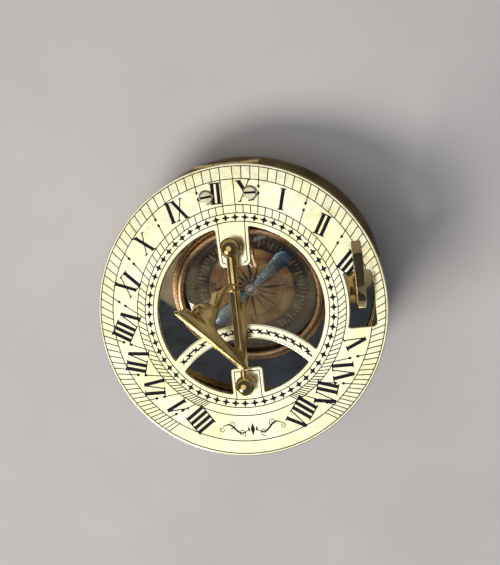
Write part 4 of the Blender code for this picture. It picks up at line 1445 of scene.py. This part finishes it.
        for side in (-1, 1):
            stem = [spot(side * (2.0 + 13.0 * t),
                         1.3 * MM * math.sin(t * FULL_TURN)) for t in shares(28)]
            wax.ribbon(stem, lambda t: (0.16 + 0.5 * math.sin(math.pi * t)) * MM)
            for start, out, size in ((5.2, 1.9, 1.35), (10.4, -1.9, 1.35), (14.6, 1.2, 1.0)):
                centre = spot(side * start, out * MM * 0.72)
                curl = [(centre[0] + size * MM * (1 - t * 0.75) * math.cos(side * t * 8.0 + start),
                         centre[1] + size * MM * (1 - t * 0.75) * math.sin(side * t * 8.0 + start))
                        for t in shares(26)]
                wax.ribbon(curl, lambda t: (0.30 - 0.14 * t) * MM)
        for bearing, long, wide in ((0.0, 2.3, 0.8), (-1.9, 1.1, 0.4), (1.9, 1.1, 0.4)):
            centre = Vector(spot(bearing, 0.0))
            wax.polygon([(centre.x, centre.y + long * MM), (centre.x + wide * MM, centre.y),
                         (centre.x, centre.y - long * MM), (centre.x - wide * MM, centre.y)])


def shares(count: int) -> list[float]:
    """Even shares from 0 to 1."""
    return [i / count for i in range(count + 1)]


# ------------------------------------------------------------------ posts and gnomon


@dataclass
class Posts:
    """The two ball posts and the rods that carry the gnomon."""

    axis_height: float = 6.5 * MM
    stem: float = 1.5 * MM
    collar: float = 2.4 * MM
    collar_height: float = 1.1 * MM
    shank: float = 1.1 * MM
    trunnion: float = 0.7 * MM
    grip: float = 2.9 * MM

    @property
    def axis(self) -> float:
        """Height of the gnomon's axis in the lid's frame."""
        return PLATE_TOP + self.axis_height

    def build(self, finishes: Finishes) -> None:
        """Make both posts and rods."""
        self.build_post("north", POST_NORTH, 3.6 * MM, finishes)
        self.build_post("south", POST_SOUTH, 3.4 * MM, finishes)
        self.build_rod("north_pivot_rod", 1.7 * MM, POST_NORTH - self.grip, 7.6 * MM, finishes)
        self.build_rod("south_pivot_pin", 1.1 * MM, POST_SOUTH + self.grip, -19.6 * MM, finishes)
        for side in ("north", "south"):
            dress(side + "_post_nut", finishes.pale)

    def build_post(self, side: str, y: float, ball: float, finishes: Finishes) -> None:
        """Make one post: shank, turned collar, stem and ball.

        Args:
            side: north or south.
            y: Its place, from the ring's centre.
            ball: The ball's radius.
            finishes: The finishes.
        """
        foot = PLATE_TOP + 0.3 * MM
        low = PLATE_BOTTOM - 0.9 * MM
        neck = math.degrees(math.asin(self.stem / ball))
        round_ball = arc((0.0, self.axis), ball, -90.0 + neck, 90.0, 40)
        profile = [(0.0, low), (self.shank, low), (self.shank, foot), (self.collar - 0.15 * MM, foot),
                   (self.collar, foot + 0.15 * MM), (self.collar, foot + self.collar_height * 0.5),
                   (self.collar - 0.2 * MM, foot + self.collar_height * 0.7),
                   (self.stem + 0.1 * MM, foot + self.collar_height * 0.8),
                   (self.stem, foot + self.collar_height)] + round_ball[:-1] + [(0.0, self.axis + ball)]
        Piece(side + "_ball_post", lathe(profile, FINE // 2, closed=False), finishes.gold, "lid",
              "gold_brass", DIAL @ at(0.0, y, 0.0), (side + "_post",)).build()

    def build_rod(self, node: str, radius: float, start: float, end: float, finishes: Finishes) -> None:
        """Make a rod from inside a ball to the gnomon.

        Args:
            node: The frame's node that it stands for.
            radius: Its radius.
            start: Its end in the ball.
            end: The gnomon's end.
            finishes: The finishes.
        """
        way = math.copysign(1.0, end - start)
        shoulder = end - way * 0.45 * MM
        tip = end + way * 2.4 * MM
        soft = 0.15 * MM * way
        profile = [(0.0, start), (radius, start), (radius, shoulder - soft),
                   (radius - 0.15 * MM, shoulder),
                   (self.trunnion, shoulder), (self.trunnion, tip), (0.0, tip)]
        if radius > 1.5 * MM:
            bead = start + (shoulder - start) * 0.86
            profile[2:2] = [(radius, bead - 0.3 * MM), (radius - 0.2 * MM, bead),
                            (radius, bead + 0.3 * MM * way)]
            profile[2] = (radius, bead - 0.3 * MM * way)
        shape = moved(lathe(profile, ROUND, closed=False), turn("X", -90.0))
        Piece(node + "_turned", shape, finishes.gold, "lid", "gold_brass",
              DIAL @ at(0.0, 0.0, self.axis),
              (node,)).build()


@dataclass
class Gnomon:
    """The folding gnomon: a scrolled plate with a sail-shaped window."""

    north: float = 7.6 * MM
    south: float = 19.6 * MM
    height: float = 29.0 * MM
    thickness: float = 2.6 * MM
    bar: float = 1.5 * MM
    latitude: float = 51.5
    bevel: float = 0.3 * MM

    def outline(self) -> Outline:
        """Outline in (along the axis, away from the axis)."""
        south, north, bar = -self.south, self.north, self.bar
        apex, height = south + self.height / math.tan(math.radians(self.latitude)), self.height
        curl = arc((apex - 0.2 * MM, height * 0.63), 2.1 * MM, -40.0, 140.0, 16)
        barb = -0.46 * self.south
        outline = [(south, -bar), (barb - 1.1 * MM, -bar), (barb - 0.2 * MM, -bar - 2.0 * MM),
                   (barb + 1.2 * MM, -bar - 1.5 * MM), (barb + 3.6 * MM, -bar - 0.7 * MM),
                   (barb + 6.4 * MM, -bar),
                   (north, -bar), (north, bar), (north + 1.4 * MM, bar + 1.3 * MM),
                   (north + 2.1 * MM, height * 0.19), (north + 0.6 * MM, height * 0.34),
                   (apex + 2.2 * MM, height * 0.39), (apex + 0.6 * MM, height * 0.43),
                   (apex + 0.4 * MM, height * 0.53), *curl, (apex - 0.6 * MM, height * 0.77),
                   (apex + 1.1 * MM, height * 0.85), (apex + 0.2 * MM, height * 0.92),
                   (apex + 0.9 * MM, height * 0.98), (apex, height), (south, 0.0)]
        return rounded(outline, 0.7 * MM, 158.0)

    def window(self) -> Outline:
        """Outline of the window."""
        bar, height, north, south = self.bar, self.height, self.north, self.south
        outline = [(-0.67 * south, bar), (north - 0.4 * MM, bar), (north + 0.7 * MM, height * 0.11),
                   (north - 0.3 * MM, height * 0.20), (north - 1.7 * MM, height * 0.25),
                   (north - 4.3 * MM, height * 0.30), (north - 8.6 * MM, height * 0.40),
                   (north - 10.0 * MM, height * 0.45), (north - 11.2 * MM, height * 0.44),
                   (-0.31 * south, height * 0.38), (-0.44 * south, height * 0.29),
                   (-0.57 * south, height * 0.17)]
        return rounded(outline, 0.7 * MM, 158.0)

    def build(self, finishes: Finishes, axis: float) -> None:
        """Make the gnomon at its rest lean.

        Args:
            finishes: The finishes.
            axis: Height of its axis in the lid's frame.
        """
        half = self.thickness / 2
        flat = [[(-h, v) for v, h in outline] for outline in (self.outline(), self.window())]
        lean = math.radians(-joint("gnomon_fold")["range_deg"][0])
        place = DIAL @ at(0.0, 0.0, axis) @ Matrix.Rotation(lean, 4, "Y")
        Piece("gnomon_plate", slab(flat, -half, half, self.bevel, 3), finishes.gold, "gnomon",
              "gold_brass",
              place, ("gnomon",)).build()


@dataclass
class LatitudeArc:
    """The latitude arc, its degree marks and its bracket."""

    width: float = 6.0 * MM
    thickness: float = 3.0 * MM
    top: float = 75.2
    foot: float = -1.5
    bevel: float = 0.35 * MM

    def build(self, finishes: Finishes) -> None:
        """Make the arc, its marks and dress the bracket."""
        hinge = Vector(joint("lid_hinge")["pos_m"])
        pin = Vector(joint("arc_fold")["pos_m"])
        centre = (hinge.y - pin.y, hinge.z - pin.z)
        radius = centre[0]
        inner, outer = radius - self.width / 2, radius + self.width / 2
        first, last = 180.0 - self.foot, 180.0 - self.top
        outline = arc(centre, outer, first, last, 56) + arc(centre, inner, last, first, 56)
        bore = circle(0.95 * MM)
        shape = slab([outline, bore], -self.thickness / 2, self.thickness / 2, self.bevel, 2)
        Piece("latitude_arc_band", moved(shape, SIDEWAYS), finishes.arc, "latitude_arc", "gold_brass",
              arc_place(), ("latitude_arc",)).build()
        self.build_marks(finishes, centre, (inner, outer))
        dress("arc_bracket", finishes.gold)
        dress("arc_pin", finishes.steel)
        for side in ("south", "north"):
            low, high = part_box("bracket_screw_" + side)
            spot = at((low.x + high.x) / 2, (low.y + high.y) / 2, 0.0)
            SlottedScrew("bracket_screw_head_" + side, "bracket_screw_" + side, "base", 1.52 * MM,
                         0.8 * MM,
                         0.8 * MM, high.z - 0.8 * MM, low.z, 30.0
                         ).build(finishes.pale, finishes.wax, spot)

    def build_marks(self, finishes: Finishes, centre: Point, radii: Point) -> None:
        """Engrave latitude degrees with figures on both faces.

        Args:
            finishes: The finishes.
            centre: The arc's centre in its own (y, z).
            radii: Its inner and outer radius.
        """
        inner, outer = radii
        face = self.thickness / 2
        for name, side in (("east", 1.0), ("west", -1.0)):
            wax = Engraving()
            for degree in range(20, 75):
                angle = math.radians(180.0 - degree)
                reach = (3.0 if degree % 10 == 0 else 2.2 if degree % 5 == 0 else 1.4) * MM
                ends = [(centre[0] + r * math.cos(angle), centre[1] + r * math.sin(angle))
                        for r in (inner + 0.5 * MM, inner + 0.5 * MM + reach)]
                wax.line(*ends, 0.16 * MM)
            for degree in range(20, 75, 10):
                angle = math.radians(180.0 - degree)
                r = outer - 1.5 * MM
                place = (at(centre[0] + r * math.cos(angle), centre[1] + r * math.sin(angle), 0.0)
                         @ turn("Z", 90.0 - degree) @ Matrix.Diagonal((side, 1.0, 1.0, 1.0)))
                wax.letters(str(degree), 1.9 * MM, place)
            shape = wax.raised(side * face - ENGRAVING_DEPTH / 2, ENGRAVING_DEPTH)
            Piece("arc_degrees_" + name, moved(shape, SIDEWAYS), finishes.wax, "latitude_arc",
                  "gold_brass",
                  arc_place()).build()


# ------------------------------------------------------------------ studio


@dataclass
class SoftBox:
    """A large soft light."""

    name: str
    spot: Point
    height: float
    size: float
    power: float
    colour: Colour = (1.0, 0.98, 0.95)

    def build(self, aim: Vector) -> None:
        """Hang the light and point it.

        Args:
            aim: What it points at.
        """
        data = bpy.data.lights.new(self.name, "AREA")
        data.shape = "DISK"
        data.size = self.size
        data.energy = self.power
        data.color = self.colour
        item = bpy.data.objects.new(self.name, data)
        item.location = (*self.spot, self.height)
        item.rotation_euler = (aim - item.location).to_track_quat("-Z", "Y").to_euler()
        show(item)


@dataclass
class Studio:
    """Pale floor, soft light and the camera above the open instrument."""

    camera_spot: tuple[float, float, float] = (0.06054, 0.16432, 0.34043)
    camera_aim: tuple[float, float, float] = (0.003454, 0.011976, 0.03)
    camera_roll: float = -167.268
    lens: float = 63.717
    film: float = 36.0

    def build(self, finishes: Finishes) -> None:
        """Make the floor, the lights and the camera."""
        bm = bmesh.new()
        bmesh.ops.create_grid(bm, x_segments=1, y_segments=1, size=6.0)
        mesh = bpy.data.meshes.new("floor")
        bm.to_mesh(mesh)
        bm.free()
        mesh.materials.append(finishes.floor)
        floor = bpy.data.objects.new("floor", mesh)
        show(floor)
        self.build_sky()
        aim = Vector((0.0, 0.0, 0.02))
        SoftBox("key", (-0.14, 0.24), 0.78, 0.84, 2.15, (1.0, 0.99, 0.96)).build(aim)
        SoftBox("sun", (-1.3, -0.85), 1.6, 1.1, 36.0, (1.0, 0.98, 0.95)).build(aim)
        bpy.context.scene.view_settings.view_transform = "Standard"
        self.build_camera()

    def build_sky(self) -> None:
        """Make a soft overhead gradient."""
        world = bpy.data.worlds.new("studio")
        bpy.context.scene.world = world
        world.use_nodes = True
        tree = world.node_tree
        background = tree.nodes["Background"]
        ramp = tree.nodes.new("ShaderNodeValToRGB")
        ramp.color_ramp.elements[0].color = (0.16, 0.16, 0.165, 1.0)
        ramp.color_ramp.elements[1].color = (0.075, 0.10, 0.15, 1.0)
        split = tree.nodes.new("ShaderNodeSeparateXYZ")
        way = tree.nodes.new("ShaderNodeTexCoord")
        tree.links.new(way.outputs["Generated"], split.inputs["Vector"])
        tree.links.new(split.outputs["Z"], ramp.inputs["Fac"])
        tree.links.new(ramp.outputs["Color"], background.inputs["Color"])
        background.inputs["Strength"].default_value = 0.8

    def build_camera(self) -> None:
        """Place the camera, looking down from the hinge side."""
        data = bpy.data.cameras.new("camera")
        data.sensor_fit = "VERTICAL"
        data.sensor_height = self.film
        data.lens = self.lens
        camera = bpy.data.objects.new("camera", data)
        spot, aim = Vector(self.camera_spot), Vector(self.camera_aim)
        ahead = (aim - spot).to_track_quat("-Z", "Y").to_matrix().to_4x4()
        camera.matrix_world = Matrix.Translation(spot) @ ahead @ turn("Z", self.camera_roll)
        show(camera)
        bpy.context.scene.camera = camera


def main() -> None:
    """Build the instrument and its studio."""
    logging.basicConfig(level=logging.INFO, format="%(message)s")
    finishes = Finishes()
    Box().build(finishes)
    Hinge().build(finishes)
    Compass().build(finishes)
    HourRing().build(finishes)
    posts = Posts()
    posts.build(finishes)
    Gnomon().build(finishes, posts.axis)
    LatitudeArc().build(finishes)
    Studio().build(finishes)


if __name__ == "__main__":
    main()
